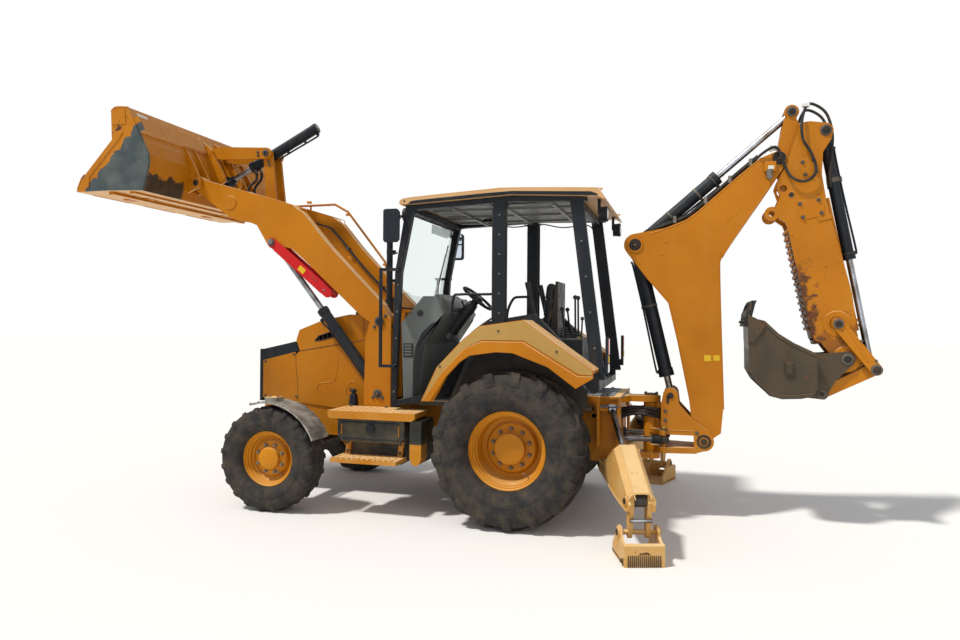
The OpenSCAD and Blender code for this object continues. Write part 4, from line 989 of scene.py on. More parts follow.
# engine bay: blocks carry ribs, a rocker cover, a pulley with its fan and a filter can
f = Shape()
for k in range(6):
    f.solid((-2500 + 120 * k, -222, 760), (-2470 + 120 * k, 222, 1150), ease=6)
f.solid((-2480, -110, 1272), (-1800, 110, 1330), ease=16)
f.rod((-2560, 0, 1010), (-2600, 0, 1010), 90, 86, 36)
f.rod((-2560, 0, 1150), (-2592, 0, 1150), 46, 44, 28)
for k in range(6):
    a = 2 * math.pi * k / 6
    root, tip = ((-2612, math.cos(a) * r, 1010 + math.sin(a) * r) for r in (40, 190))
    f.rod(root, tip, 22, 34, 8)
f.rod((-2200, 240, 1180), (-1900, 240, 1180), 62, 62, 32)
f.rod((-1990, -250, 900), (-1990, -250, 1060), 48, 48, 28)
f.piece("engine_dressing", "frame", [cast], soften=3)

# Loader towers.
# Twin plates: pin heads with keeper bolts and a row of hose pipes behind them.
pin_ends("tower_pin_heads", "frame", both_sides([(arm_pivot[0], arm_pivot[1], 520, 30),
                                                 (lift_base[0], lift_base[1], 512, 26)]))
side_bolts("tower_bolts", "frame", 505,
           [(-1410, 1660), (-1300, 1764), (-1420, 1000),
            (-1322, 1000), (-1480, 760), (-1290, 760)], 22)
f = Shape()
for side in (-1, 1):
    for k in range(3):
        y = side * (375 + 34 * k)
        f.tube([(-1236, y, 780), (-1232, y, 1200), (-1236, y, 1600), (-1262, y, 1668)], 8, 8)
    for z in (900, 1200, 1500):
        f.solid((-1245, min(side * 362, side * 456), z),
                (-1222, max(side * 362, side * 456), z + 24), 1)
f.piece("tower_pipes", "frame", [black, bolt_steel])

# Cab shell.
# Black folded posts with rubber seals and plated screws; a bleached sheet roof with a folded
# lip; a lining of pale panels and a loose cable under it.
roof_tan = enamel("roof_bleached", (206, 166, 118), (196, 152, 102), (226, 196, 152),
                  (200, 168, 124), (128, 104, 78), chips=0.7)
coat_node(roof_tan, "roof")

plastic = enamel("grey_moulding", (112, 114, 114), (98, 100, 101),
                 (150, 146, 138), (136, 126, 112), (86, 86, 84), chips=0.8)

f = Shape()
for side in (-1, 1):
    for z in (1790, 1960, 2130, 2300, 2470, 2640):
        f.bolt((-150, side * 715, z), (0, side, 0), 12)
    for z in (1080, 1320, 1560, 1800, 2040):
        f.bolt((-1126 + (z - 983) * 0.034, side * 710, z), (0, side, 0), 12)
    for z in (1500, 1800, 2100, 2400):
        f.bolt((708 - (z - 1240) * 0.1296, side * 700, z), (0, side, 0), 12)
f.piece("cab_screws", "frame", [nut_steel])

f = Shape()
for side in (-1, 1):
    f.tube([(-1110, side * 700, 1000), (-1072, side * 703, 2150), (-962, side * 703, 2700)], 8, 8)
    f.tube([(-212, side * 704, 1720), (-212, side * 704, 2700)], 7, 8)
    f.tube([(-88, side * 704, 1742), (-88, side * 704, 2720)], 7, 8)
    f.tube([(-700, side * 690, 1100), (-640, side * 692, 1165), (-500, side * 692, 1508),
            (-250, side * 692, 1726), (-150, side * 692, 1746)], 9, 8)
f.piece("door_seals", "frame", [hose_rubber])

# rounded gussets in the roof corners of the door and side openings
f = Shape()
for side in (-1, 1):
    y0, y1 = sorted((side * 662, side * 704))
    for x, s in ((-205, -1), (-95, 1)):
        f.plate([(x, 2735), (x + s * 46, 2735)] + [
            (x + s * (46 - 46 * math.sin(t)), 2735 - 46 * (1 - math.cos(t))) for t in
            (0.3, 0.6, 0.9, 1.2, math.pi / 2)], y0, y1)
f.piece("post_gussets", "frame", [black])

f = Shape()
f.solid((-900, -600, 2742), (480, 600, 2750))
for y in (-420, 0, 420):
    f.solid((-860, y - 12, 2726), (440, y + 12, 2742), ease=1)
for x in (-620, -150, 300):
    f.solid((x - 16, -600, 2722), (x + 16, 600, 2742), ease=1)
f.piece("roof_lining", "frame", [plastic])
f = Shape()
f.tube([(-480, 540, 2720), (-300, 500, 2690), (-40, 520, 2715), (180, 560, 2680), (420, 590, 2700),
        (500, 600, 2640)], 6, 8)
f.tube([(-900, -520, 2700), (-760, -300, 2680), (-560, 0, 2712), (-400, 240, 2690)], 5, 8)
f.piece("roof_cables", "frame", [hose_rubber])
f = Shape()
f.solid((-520, 60, 2690), (-380, 260, 2724), ease=8)
f.rod((-450, 160, 2692), (-450, 160, 2680), 40, 36, 24)
f.piece("roof_console", "frame", [pin_black], soften=3)

f = Shape()
for side in (-1, 1):
    line = [(-1062, 2782), (-1036, 2800), (-915, 2817), (-271, 2855), (-33, 2861), (676, 2830),
            (716, 2809)]
    f.tube([(x, side * 757, z) for x, z in line], 5, 8)
    for x in (-1016, 640):
        f.rod((x, side * 757, 2784), (x, side * 762, 2784), 9, 8, 14, 1)
f.piece("roof_lip", "frame", [roof_tan, pin_black])
f = Shape()
f.side_plates([(-950, 2783), (-900, 2789), (-271, 2825), (-33, 2834), (640, 2803), (694, 2782),
               (700, 2767), (-33, 2806), (-900, 2761), (-986, 2758)], 757, 763)
f.piece("roof_side_seals", "frame", [black], soften=2)

# Windscreen fittings.
# Tinted glass in a rubber edge, with a green sun strip stuck along its top and one wiper on
# its arm.


def clear_finish(name, colour, roughness, sockets):
    """Glass, a lens or a mirror: a clean smooth surface that shows what is round it."""
    made = bpy.data.materials.new(name)
    made.use_nodes = True
    shader = made.node_tree.nodes["Principled BSDF"]
    shader.inputs["Base Color"].default_value = colour
    shader.inputs["Roughness"].default_value = roughness
    for socket, value in sockets.items():
        shader.inputs[socket].default_value = value
    return made


glass = clear_finish("tinted_glass", (0.82, 0.90, 0.88, 1), 0.02,
                     {"Transmission Weight": 1.0, "IOR": 1.45})
coat_node(glass, "windscreen")

f = Shape()
edge = [(-1133, 1836), (-1109, 2151), (-1001, 2682)]
for side in (-1, 1):
    f.tube([(x - 3, side * 648, z) for x, z in edge], 9, 8)
f.rod((-1136, -648, 1836), (-1136, 648, 1836), 9, 9, 10)
f.rod((-1004, -648, 2682), (-1004, 648, 2682), 9, 9, 10)
f.piece("screen_rubber", "frame", [hose_rubber])
strip = clear_finish("sun_strip_green", (0.02, 0.30, 0.26, 1), 0.15, {"Alpha": 0.72})
f = Shape()
f.prism([spot(-1015, -40, 2672), spot(-1015, 520, 2672), spot(-1032, 490, 2588),
         spot(-1032, -10, 2588)], Vector((-0.0015, 0, 0)))
f.piece("sun_strip", "frame", [strip])
f = Shape()
f.rod((-1150, 330, 1846), (-1132, 330, 1850), 20, 17, 20)
f.tube([(-1150, 330, 1850), (-1134, 400, 2010), (-1104, 470, 2200), (-1060, 500, 2420)], 6, 8)
f.tube([(-1128, 440, 2010), (-1106, 470, 2160), (-1064, 506, 2380), (-1034, 520, 2520)], 8, 6)
f.tube([(-1146, 350, 1850), (-1128, 416, 2010), (-1100, 484, 2200)], 4, 6)
f.piece("wiper", "frame", [pin_black])

# Mirrors.
# Deep black housings with bevelled backs; bright glass set in a rim; arms of bent rod.
mirror_glass = clear_finish("mirror_glass", (0.62, 0.70, 0.78, 1), 0.06, {"Metallic": 1.0})
f = Shape()
f.side_plates([(-1120, 2402), (-1014, 2402), (-993, 2424), (-991, 2666), (-1012, 2688),
               (-1116, 2688), (-1133, 2672), (-1133, 2424)], 905, 948)
f.piece("mirror_housings", "frame", [black], soften=9)
f = Shape()
f.plate([(-1118, 2420), (-1012, 2420), (-1004, 2430), (-1004, 2560), (-1120, 2560)], 901, 905)
f.plate([(-1120, 2574), (-1004, 2574), (-1004, 2666), (-1016, 2676), (-1110, 2676), (-1120, 2666)],
        901, 905)
f.plate([(-1118, 2420), (-1012, 2420), (-1004, 2430), (-1004, 2666), (-1016, 2676), (-1110, 2676),
         (-1120, 2666), (-1120, 2430)], -905, -901)
f.piece("mirror_panes", "frame", [mirror_glass], soften=1)
f = Shape()
for side in (-1, 1):
    f.tube([(-1080, side * 705, 2640), (-1096, side * 800, 2662), (-1092, side * 930, 2664)], 11,
           10)
    f.tube([(-1104, side * 705, 2330), (-1112, side * 800, 2318), (-1092, side * 925, 2404)], 8,
           10)
    f.rod((-1092, side * 930, 2396), (-1092, side * 930, 2410), 16, 14, 16)
f.piece("mirror_arms", "frame", [black])

# Dash and side console.
# Light grey mouldings over a charcoal lower cover, with a key switch, a round knob, a fuse
# cover, an instrument binnacle and warning lights.


def dash_black(f, colour):
    """The steering wheel and the rear console are black, the dash itself is grey."""
    x, z = f.part("Object", "X"), f.part("Object", "Z")
    wheel = f.maths("MULTIPLY", f.ramp(x, -0.075, -0.065), f.ramp(z, 1.74, 1.76))
    return f.over(f.maths("MAXIMUM", wheel, f.ramp(x, 0.08, 0.10)), colour, linear(34, 35, 38))


dash_grey = enamel("dash_moulding", (108, 114, 112), (96, 102, 102),
                   (146, 146, 138), (132, 126, 112), (86, 86, 84), chips=0.8,
                   wear=dash_black)
coat_node(dash_grey, "dash")

trim_dark = enamel("charcoal_moulding", (48, 50, 54), (40, 42, 46), (84, 82, 78),
                   (92, 84, 72), (66, 64, 62), chips=0.75)
f = Shape()
f.side_plates([(-757, 1720), (-830, 1702), (-930, 1610), (-990, 1480), (-1012, 1340),
               (-1016, 1010), (-962, 1010), (-902, 1500), (-745, 1752)], 520, 525)
f.piece("dash_lower_cover", "frame", [trim_dark], soften=2)
f = Shape()
for side in (-1, 1):
    f.boss(-946, side * 520, 1789, [(0, -2), (30, -2), (30, 5), (26, 9), (0, 9)], 32)
    f.boss(-1039, side * 520, 1791, [(0, -2), (16, -2), (16, 6), (13, 8), (0, 8)], 24, [1] * 5)
    f.rod((-1039, side * 526, 1791), (-1039, side * 531, 1791), 6, 5, 12)
f.side_plates([(-1108, 1386), (-1012, 1386), (-1012, 1512), (-1108, 1512)], 519, 526)
for low in (1400, 1428, 1456, 1484):
    f.side_plates([(-1096, low), (-1026, low), (-1026, low + 14), (-1096, low + 14)], 524, 529, 2)
f.piece("dash_switches", "frame", [trim_dark, nut_steel, plastic], soften=0.8)
f = Shape()
f.prism([spot(-900, -300, 1950), spot(-730, -300, 1800), spot(-700, -300, 1840),
         spot(-730, -300, 1900), spot(-860, -300, 1980)], Vector((0, 0.6, 0)))
f.piece("instrument_binnacle", "frame", [plastic], soften=10)
f = Shape()
for k in range(3):
    f.rod((-800, -170 + 170 * k, 1876), (-776, -170 + 170 * k, 1903), 58, 56, 32)
for k in range(8):
    f.rod((-838, -260 + 74 * k, 1930), (-830, -260 + 74 * k, 1944), 9, 8, 12, 1)
f.piece("instrument_dials", "frame", [trim_dark, yellow_label])
f = Shape()
f.rod((-820, 0, 1620), (-640, 0, 1836), 66, 56, 28)
f.rod((-640, 0, 1836), (-590, 0, 1894), 62, 48, 28)
f.tube([(-660, -60, 1846), (-650, -150, 1880), (-642, -200, 1900)], 8, 8)
f.rod((-642, -196, 1898), (-640, -222, 1906), 12, 11, 14)
f.tube([(-660, 60, 1846), (-650, 150, 1872), (-642, 190, 1884)], 8, 8)
f.piece("column_shroud", "frame", [trim_dark], soften=2)
f = Shape()
column_lean = math.radians(39)
f.turned((-549, 0, 1942), (math.sin(column_lean), 0, math.cos(column_lean)),
         [(0, -22), (50, -22), (52, 6), (44, 20), (0, 24)], 36)
f.rod((-560, -166, 1962), (-536, -166, 1996), 11, 16, 18)
f.piece("wheel_boss", "frame", [trim_dark], soften=1.5)

# pedals and the floor mat with its grip ribs
f = Shape()
for y in (-170, -60, 110):
    f.solid((-872, y - 36, 1120), (-856, y + 36, 1190), ease=2)
    f.tube([(-872, y, 1150), (-900, y, 1080), (-930, y, 1040)], 8, 8)
f.piece("pedals", "frame", [trim_dark], soften=2)
f = Shape()
f.solid((-880, -480, 992), (-300, 480, 998))
for k in range(16):
    f.solid((-860 + 34 * k, -460, 997), (-848 + 34 * k, 460, 1003), ease=1)
f.piece("floor_mat", "frame", [hose_rubber], soften=1)

# Seat base and arm rests.
# Suspension box with a bellows skirt, arm rests of black foam on bent bars, and a hand rail.
f = Shape()
for k in range(6):
    grow = 6 if k % 2 else -8
    f.solid((-250 - grow, -200 - grow, 1060 + 56 * k), (250 + grow, 200 + grow, 1112 + 56 * k),
            ease=8)
f.piece("seat_bellows", "frame", [hose_rubber], soften=3)
f = Shape()
for side in (-1, 1):
    y = side * 290
    f.tube([(-300, y, 1640), (-286, y, 1664), (-100, y, 1668), (150, y, 1664)], 24, 12)
    f.tube([(90, y, 1640), (76, y, 1780), (30, y, 1980), (6, y, 2080)], 26, 12)
f.piece("arm_rest_pads", "frame", [trim_dark])
f = Shape()
f.tube([(-186, -300, 1700), (-170, -300, 1830), (-120, -300, 1928), (-60, -300, 1944),
        (60, -300, 1944)], 12, 10)
f.tube([(-640, -540, 1700), (-620, -540, 1930), (-560, -540, 1960), (-360, -560, 1960),
        (-214, -600, 1960)], 12, 10)
f.piece("cab_hand_bars", "frame", [black])

# Rear controls.
# A console with two long levers with ball knobs, two short ones in bellows boots, and a
# throttle hand wheel.
f = Shape()
for y, top in ((-90, (414, 1948)), (90, (414, 1948)), (-150, (304, 1838)), (150, (304, 1838))):
    bmesh.ops.create_uvsphere(f.mesh, u_segments=20, v_segments=14, radius=0.021,
                              matrix=Matrix.Translation(spot(top[0], y, top[1])))
for y in (-150, 150):
    for k in range(5):
        f.rod((336 - k * 3, y, 1560 + 24 * k), (336 - k * 3, y, 1572 + 24 * k), 62 - 8 * k,
              54 - 8 * k, 24)
for y in (-90, 90):
    for k in range(4):
        f.rod((420 - k, y, 1560 + 20 * k), (420 - k, y, 1570 + 20 * k), 40 - 6 * k, 34 - 6 * k, 20)
f.piece("lever_knobs", "frame", [trim_dark])
f = Shape()
f.solid((296, -326, 1558), (510, 326, 1572), ease=6)
f.tube([(500, -300, 1500), (508, -300, 1650), (512, -300, 1740)], 8, 8)
f.rod((512, -300, 1736), (512, -300, 1766), 16, 14, 16)
for k in range(5):
    f.rod((470, -240 + 40 * k, 1570), (470, -240 + 40 * k, 1582), 10, 9, 12, 1)
f.piece("rear_console_top", "frame", [trim_dark, yellow_label], soften=2)
f = Shape()
f.plate([(286, 1050), (292, 1050), (292, 1540), (286, 1540)], -300, 300)
f.piece("rear_console_panel", "frame", [plastic], soften=1)

# Lamps.
# Round rubber-cased work lamps with ribbed glass; red and amber lenses on the tail blocks.
lens = clear_finish("lamp_lens", (0.86, 0.87, 0.86, 1), 0.12, {"Coat Weight": 0.6})
red_lens = clear_finish("red_lens", (0.52, 0.02, 0.02, 1), 0.18, {"Coat Weight": 0.7})
f = Shape()
low = 2690
for y in (-560, 560):
    f.turned((-1092, y, low), (-1, 0, 0), [(0, -4), (54, -4), (54, -1), (30, 3), (0, 4)], 36)
    f.turned((760, y, 2640), (1, 0, 0), [(0, -4), (54, -4), (54, -1), (30, 3), (0, 4)], 36)
f.piece("work_lamp_glass", "frame", [lens])
f = Shape()
for y in (-560, 560):
    f.turned((-1092, y, low), (-1, 0, 0), [(54, -30), (64, -30), (66, -2), (62, 3), (54, 3)], 36)
    f.turned((760, y, 2640), (1, 0, 0), [(54, -30), (64, -30), (66, -2), (62, 3), (54, 3)], 36)
    for k in range(4):
        f.turned((-1030 - 6 * k, y, low), (-1, 0, 0),
                 [(30, 0), (56 - 3 * k, 0), (56 - 3 * k, 3), (30, 3)], 28)
f.piece("work_lamp_rims", "frame", [black])
f = Shape()
for side in (-1, 1):
    lo, hi = sorted((side * 646, side * 714))
    f.solid((786, lo, 1450), (794, hi, 1580))
    f.solid((786, lo, 1380), (794, hi, 1440), 1)
    f.solid((786, lo, 1302), (794, hi, 1370), 2)
f.piece("tail_lenses", "frame", [red_lens, yellow_label, lens], soften=2)

# Rear fenders.
# Folded sheet with a proud outer band; the panel above the band is dust-bleached to olive tan.
fender_tan = enamel("fender_dusty", (176, 140, 76), (164, 128, 66), (214, 180, 126),
                    (178, 148, 98), (84, 70, 50), chips=0.7)
f = Shape()
f.side_plates([(-716, 1052), (-582, 1336), (-354, 1570), (-216, 1674), (140, 1726), (704, 1330),
               (704, 1300), (600, 1304), (150, 1566), (-200, 1566), (-340, 1496), (-520, 1296),
               (-690, 1052)], 1070, 1074)
f.piece("fender_upper_panels", "frame", [fender_tan], soften=1)
f = Shape()
f.side_plates([(-706, 1046), (-540, 1286), (-352, 1486), (-204, 1554), (146, 1554), (590, 1290),
               (711, 1290), (711, 1273), (576, 1190), (349, 1356), (62, 1462), (-78, 1467),
               (-302, 1435), (-388, 1378), (-500, 1260), (-640, 1046)], 1070, 1086)
f.piece("fender_bands", "frame", [yellow], soften=5)
side_bolts("fender_bolts", "frame", 1074, [(-560, 1340), (-60, 1640), (420, 1480)], 14)

# Seat cushions.
# Black vinyl over foam, swollen between sewn channels; the back cushion's edge has worn
# through to the brown foam. Both lie on the seat's shell.


def foam_wear(f, colour):
    """Brown foam that shows where the back cushion's rear edge has worn through."""
    x, z = f.part("Object", "X"), f.part("Object", "Z")
    edge = f.maths("ADD", f.maths("SUBTRACT", x, f.maths("MULTIPLY", z, 0.118)), -0.611)
    worn = f.maths("MULTIPLY", f.ramp(f.noise(16, 7), 0.42, 0.5), f.ramp(edge, 0.0, 0.012))
    return f.over(f.maths("MULTIPLY", worn, f.ramp(z, 1.66, 1.72)), colour, linear(122, 92, 62))


vinyl = enamel("seat_vinyl", (40, 40, 42), (30, 30, 32), (78, 74, 68),
               (84, 76, 64), (70, 62, 52), dust_top=0.2, bleach_and_sunlight=0.5, chips=0.72,
               wear=foam_wear)


def make_cushion(name, low, high, lean, foot, channels, swell):
    """A foam pad swollen by cloth, then sewn down along its channels; lean turns it back."""
    box = Shape()
    box.solid(low, high)
    pad = box.piece(name, "frame", [vinyl])
    soft = pad.modifiers.new("edges", "BEVEL")
    soft.width = 0.024
    soft.segments = 4
    grid = pad.modifiers.new("skin", "REMESH")
    grid.mode = "VOXEL"
    grid.voxel_size = 0.006
    grid.use_smooth_shade = True
    graph = bpy.context.evaluated_depsgraph_get()
    start = bpy.data.meshes.new_from_object(pad.evaluated_get(graph))
    pad.modifiers.clear()
    pad.data = start
    rest = [v.co.copy() for v in start.vertices]
    cloth = pad.modifiers.new("foam", "CLOTH")
    cloth.settings.use_pressure = True
    cloth.settings.uniform_pressure_force = 4.0
    cloth.settings.effector_weights.gravity = 0.0
    cloth.point_cache.frame_end = 20
    for step in range(1, 21):
        bpy.context.scene.frame_set(step)
    graph = bpy.context.evaluated_depsgraph_get()
    swollen = bpy.data.meshes.new_from_object(pad.evaluated_get(graph))
    pad.modifiers.clear()
    pad.data = swollen
    bpy.context.scene.frame_set(1)
    base = spot(*foot)
    turn = Matrix.Rotation(math.radians(lean), 4, "Y")
    middle = (spot(*low) + spot(*high)) / 2
    reach = (spot(*high) - spot(*low)) / 2
    for point, was in zip(pad.data.vertices, rest):
        move = point.co - was
        if move.length > swell / 1000:
            move *= swell / 1000 / move.length
        here = was + move
        side = (here.y - middle.y) / reach.y
        long = (here.x - middle.x) / reach.x
        crown = max(0.0, 1 - side ** 4) * max(0.0, 1 - long ** 4)
        if here.z > middle.z:
            here.z += 0.010 * crown
            for across_it, at in channels:
                off = (here.x if across_it else here.y) - at
                here.z -= 0.011 * math.exp(-(off / 0.007) ** 2) * min(1.0, crown * 2)
        else:
            here.z = max(here.z, middle.z - reach.z)
        point.co = base + turn @ (here - base) if lean else here
    for face in pad.data.polygons:
        face.use_smooth = True
    if not pad.data.materials:
        pad.data.materials.append(vinyl)
    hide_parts("seat_cushions")


make_cushion("seat_cushion", (-264, -218, 1526), (112, 218, 1588), 0, (0, 0, 0),
             [(False, -0.115), (False, 0.115), (True, 0.48)], 12)
make_cushion("back_cushion", (240, -208, 1560), (710, 208, 1622), -84.2, (190, 0, 1560),
             [(False, -0.115), (False, 0.115), (True, 1.02), (True, 1.18)], 12)

# Tanks and steps.
# Sheet steel steps with punched grips and a serrated edge, fixed to the black plastic tanks by
# bolted brackets; the tanks have a filler cap and a pressed rib.


def tank_black(f, colour):
    """The tanks under the steps are black; the step plates keep their paint."""
    y, z = f.maths("ABSOLUTE", f.part("Object", "Y")), f.part("Object", "Z")
    lower_step = f.maths("MULTIPLY", f.ramp(y, 0.734, 0.736), f.ramp(z, 0.6415, 0.6405))
    body = f.maths("MULTIPLY", f.ramp(z, 0.8462, 0.8457), f.ramp(lower_step, 0.6, 0.4))
    return f.over(body, colour,
                  f.over(f.ramp(f.noise(6, 7), 0.4, 0.66), linear(42, 44, 40), linear(84, 76, 60)))


step_yellow = enamel("step_enamel", (190, 124, 20), (176, 110, 12),
                     (232, 196, 144), (196, 156, 92), (84, 62, 40), dust_top=1.2,
                     wear=tank_black)
coat_node(step_yellow, "tank_steps")

f = Shape()
for side in (-1, 1):
    for i in range(11):
        x = -1600 + i * 68
        for y in (600, 690, 780, 860):
            f.turned((x, side * y, 915), (0, 0, 1), [(9, -2), (15, -2), (13, 3), (11, 4), (9, 3)],
                     14)
    for i in range(9):
        f.rod((-1610 + i * 90, side * 919, 884), (-1610 + i * 90, side * 921.5, 884), 5, 5, 10)
f.piece("top_step_grips", "frame", [yellow])

f = Shape()
for side in (-1, 1):
    for i in range(9):
        x = -1570 + i * 68
        for y in (800, 880, 950):
            f.turned((x, side * y, 506), (0, 0, 1), [(9, -2), (15, -2), (13, 3), (11, 4), (9, 3)],
                     14)
    for x in (-1560, -1010):
        f.tube([(x, side * 862, 700), (x, side * 862, 790)], 6, 8)
f.piece("low_step_grips", "frame", [yellow])

rows = []
for side in (-1, 1):
    for x in (-1540, -1030):
        rows += [((x, side * 770, 620), (0, side, 0)), ((x - 6, side * 770, 540), (0, side, 0))]
    for x in (-1620, -1260, -890):
        rows.append(((x, side * 560, 915), (0, 0, 1)))
bolt_rows("step_bolts", "frame", rows, 22)

f = Shape()
for side in (-1, 1):
    f.rod((-1280, side * 858, 760), (-1280, side * 874, 760), 44, 40, 36)
    for k in range(8):
        a = 2 * math.pi * k / 8
        f.rod((-1280 + 36 * math.cos(a), side * 862, 760 + 36 * math.sin(a)),
              (-1280 + 36 * math.cos(a), side * 876, 760 + 36 * math.sin(a)), 6, 5, 8)
    lo, hi = sorted((side * 858, side * 864))
    for low in (664, 806):
        f.solid((-1560, lo, low), (-1010, hi, low + 12), ease=1)
f.piece("tank_caps", "frame", [black], soften=1.5)

# Front axle.
# Cast beam with a steering cylinder across its back, tie rod ends and greased king pins.


def guard_grey(f, colour):
    """The swivel block is cast iron; the mudguard above it is sun-bleached grey plastic."""
    z = f.part("Object", "Z")
    pale = f.over(f.ramp(f.noise(9, 7), 0.4, 0.65), linear(112, 110, 106), linear(166, 160, 148))
    return f.over(f.ramp(z, 0.628, 0.632), colour, pale)


swivel = enamel("swivel_and_mudguard", (58, 54, 50), (44, 42, 40), (150, 144, 132),
                (120, 104, 82), (40, 36, 32), dust_top=1.3, wear=guard_grey)
coat_node(swivel, "knuckle_left", "knuckle_right")

f = Shape()
for y0, y1, r, sides, slot in ((-300, 300, 36, 28, 0), (-330, -296, 42, 28, 0),
                               (296, 330, 42, 28, 0), (-560, 560, 16, 20, 1),
                               (-600, -560, 24, 20, 0), (560, 600, 24, 20, 0)):
    f.rod((-2092, y0, 505), (-2092, y1, 505), r, r, sides, slot)
f.piece("steering_cylinder", "frame", [cast, steel])
rows = []
for side in (-1, 1):
    for k in range(4):
        a = math.pi / 4 + k * math.pi / 2
        rows.append(((-2200 + 34 * math.cos(a), side * 740 + 34 * math.sin(a), 600), (0, 0, 1)))
bolt_rows("king_pin_bolts", "frame", rows, 14)

# Front mudguards.
# Grey plastic, bleached and gritty, with a ribbed edge and a painted stop plate on top.
mudguard_grey = enamel("mudguard_grey", (118, 116, 112), (100, 98, 96),
                       (168, 162, 152), (160, 144, 120), (84, 82, 80),
                       dust_top=1.25, bleach_and_sunlight=0.8, chips=0.7)

for side, y in (("left", -1), ("right", 1)):
    f = Shape()
    for k in range(10):
        a = math.radians(24 + k * 9.2)
        for yy in (812, 1084):
            base = (-2200 + 513 * math.cos(a), y * yy, 470 + 513 * math.sin(a))
            tip = (-2200 + 525 * math.cos(a), y * yy, 470 + 525 * math.sin(a))
            f.rod(base, tip, 9, 7, 10)
    f.piece("mudguard_ribs_" + side, "knuckle_" + side, [mudguard_grey])
    f = Shape()
    f.solid((-2262, min(y * 884, y * 996), 1014), (-2138, max(y * 884, y * 996), 1018.5), ease=3)
    for x in (-2240, -2160):
        f.bolt((x, y * 940, 1016), (0, 0, 1), 20, 1)
    f.piece("mudguard_plate_" + side, "knuckle_" + side, [yellow, bolt_steel], soften=0.8)

# Rear frame and swing gear.
# Heavy welded plates with worn tops; pin heads with keepers, the swing cylinders' hoses and
# fittings, and a valve block under the floor.
worn_blue = enamel("worn_blue_steel", (84, 92, 98), (64, 70, 76), (132, 138, 142),
                   (120, 112, 100), (96, 74, 54), dust_top=0.4, chips=0.6)

f = Shape()
for side in (-1, 1):
    f.boss(638, side * 440, 905, [(21, -1), (43, -1), (43, 3), (38, 6), (21, 4)], 32)
    f.tube([(852, side * 428, 1062), (852, side * 428, 700), (852, side * 428, 540)], 6, 6)
for z in (558, 1064):
    f.turned((1100, 0, z - 6), (0, 0, 1), [(40.5, -2), (64, -2), (62, 8), (41, 10)], 36)
f.piece("rear_weld_rings", "frame", [yellow])
f = Shape()
f.turned((1100, 0, 1066), (0, 0, 1),
         [(0, -4), (58, -4), (58, 10), (52, 14), (14, 14), (10, 8), (0, 8)], 36)
f.solid((1040, -26, 1066), (1160, 26, 1078), ease=3)
f.piece("swing_pin_cap", "frame", [pin_black])
rows = [((x, y, 1076), (0, 0, 1)) for x in (1052, 1148) for y in (-14, 14)]
for y in (-300, 300):
    for x in (500, 620, 740):
        rows.append(((x, y, 1074), (0, 0, 1)))
for side in (-1, 1):
    for z in (600, 760, 1020):
        rows.append(((500, side * 425, z), (0, side, 0)))
bolt_rows("rear_frame_bolts", "frame", rows, 24)

# plates over the frame's top with a blue-grey worn face
f = Shape()
f.solid((470, -380, 1074), (800, 380, 1082), ease=2)
f.solid((800, -300, 1060), (880, 300, 1066), ease=2)
for side in (-1, 1):
    lo, hi = sorted((side * 440, side * 596))
    f.solid((700, lo, 1000), (868, hi, 1006), ease=2)
f.piece("rear_top_plates", "frame", [worn_blue], soften=1)

f = Shape()
for side in (-1, 1):
    y = side * 190
    f.turned((798, y, 690), (1, 0, 0), [(25, -6), (50, -6), (50, 44), (46, 62), (25, 62)], 36)
    f.turned((500, y, 690), (1, 0, 0), [(0, -26), (49, -26), (49, 10), (44.5, 12)], 32)
    f.rod((600, y, 736), (600, y, 764), 16, sides=16)
    f.rod((770, y, 736), (770, y, 764), 16, sides=16)
    f.rod((790, y + side * 50, 690), (790, y + side * 62, 690), 26, 22, 24, 1)
f.piece("swing_barrel_fittings", "frame", [black, bolt_steel], soften=1.2)
for side, y in (("left", -1), ("right", 1)):
    f = Shape()
    f.rod((1120, y * 190, 690), (1192, y * 190, 690), 40, 40, 30)
    f.turned((1220, y * 190, 690), (0, 0, 1),
             [(20, -27), (42, -27), (44, -24), (44, 24), (42, 27), (20, 27)], 36)
    f.piece("swing_rod_eye_" + side, "swing_rod_" + side, [black])
f = Shape()
for y in (-190, 190):
    f.turned((1220, y, 776), (0, 0, 1),
             [(0, -2), (34, -2), (34, 8), (28, 13), (8, 13), (6, 9), (0, 9)], 30)
    f.rod((1220, y, 780), (1220, y, 806), 11, 9, 16, 1)
f.piece("swing_post_pins", "swing_post", [pin_black, yellow_label])
f = Shape()
for side in (-1, 1):
    f.boss(1559, side * 182, 686, [(0, -2), (30, -2), (30, 4), (22, 7), (9, 7), (8, 3), (0, 3)],
           32)
    f.boss(1559, side * 175, 686, [(38.5, -1), (62, -1), (60, 4), (40, 5)], 36)
    f.boss(1275, side * 180, 1080, [(0, -2), (26, -2), (26, 6), (20, 9), (0, 9)], 32)
    f.solid((1240, min(side * 175, side * 181), 1010), (1262, max(side * 175, side * 181), 1080),
            ease=1)
f.piece("post_pin_heads", "swing_post", [pin_black])
f = Shape()
for side in (-1, 1):
    y = side * 175 * 0.996
    f.tube([(1200, y, 780), (1300, y, 774), (1476, y, 774)], 5, 6)
    f.tube([(1220, y, 998), (1240, y, 860), (1236, y, 790)], 4, 6)
f.piece("post_weld_beads", "swing_post", [yellow])
side_bolts("post_bolts", "swing_post", 175, [(1232, 940), (1232, 860), (1500, 760)], 22)

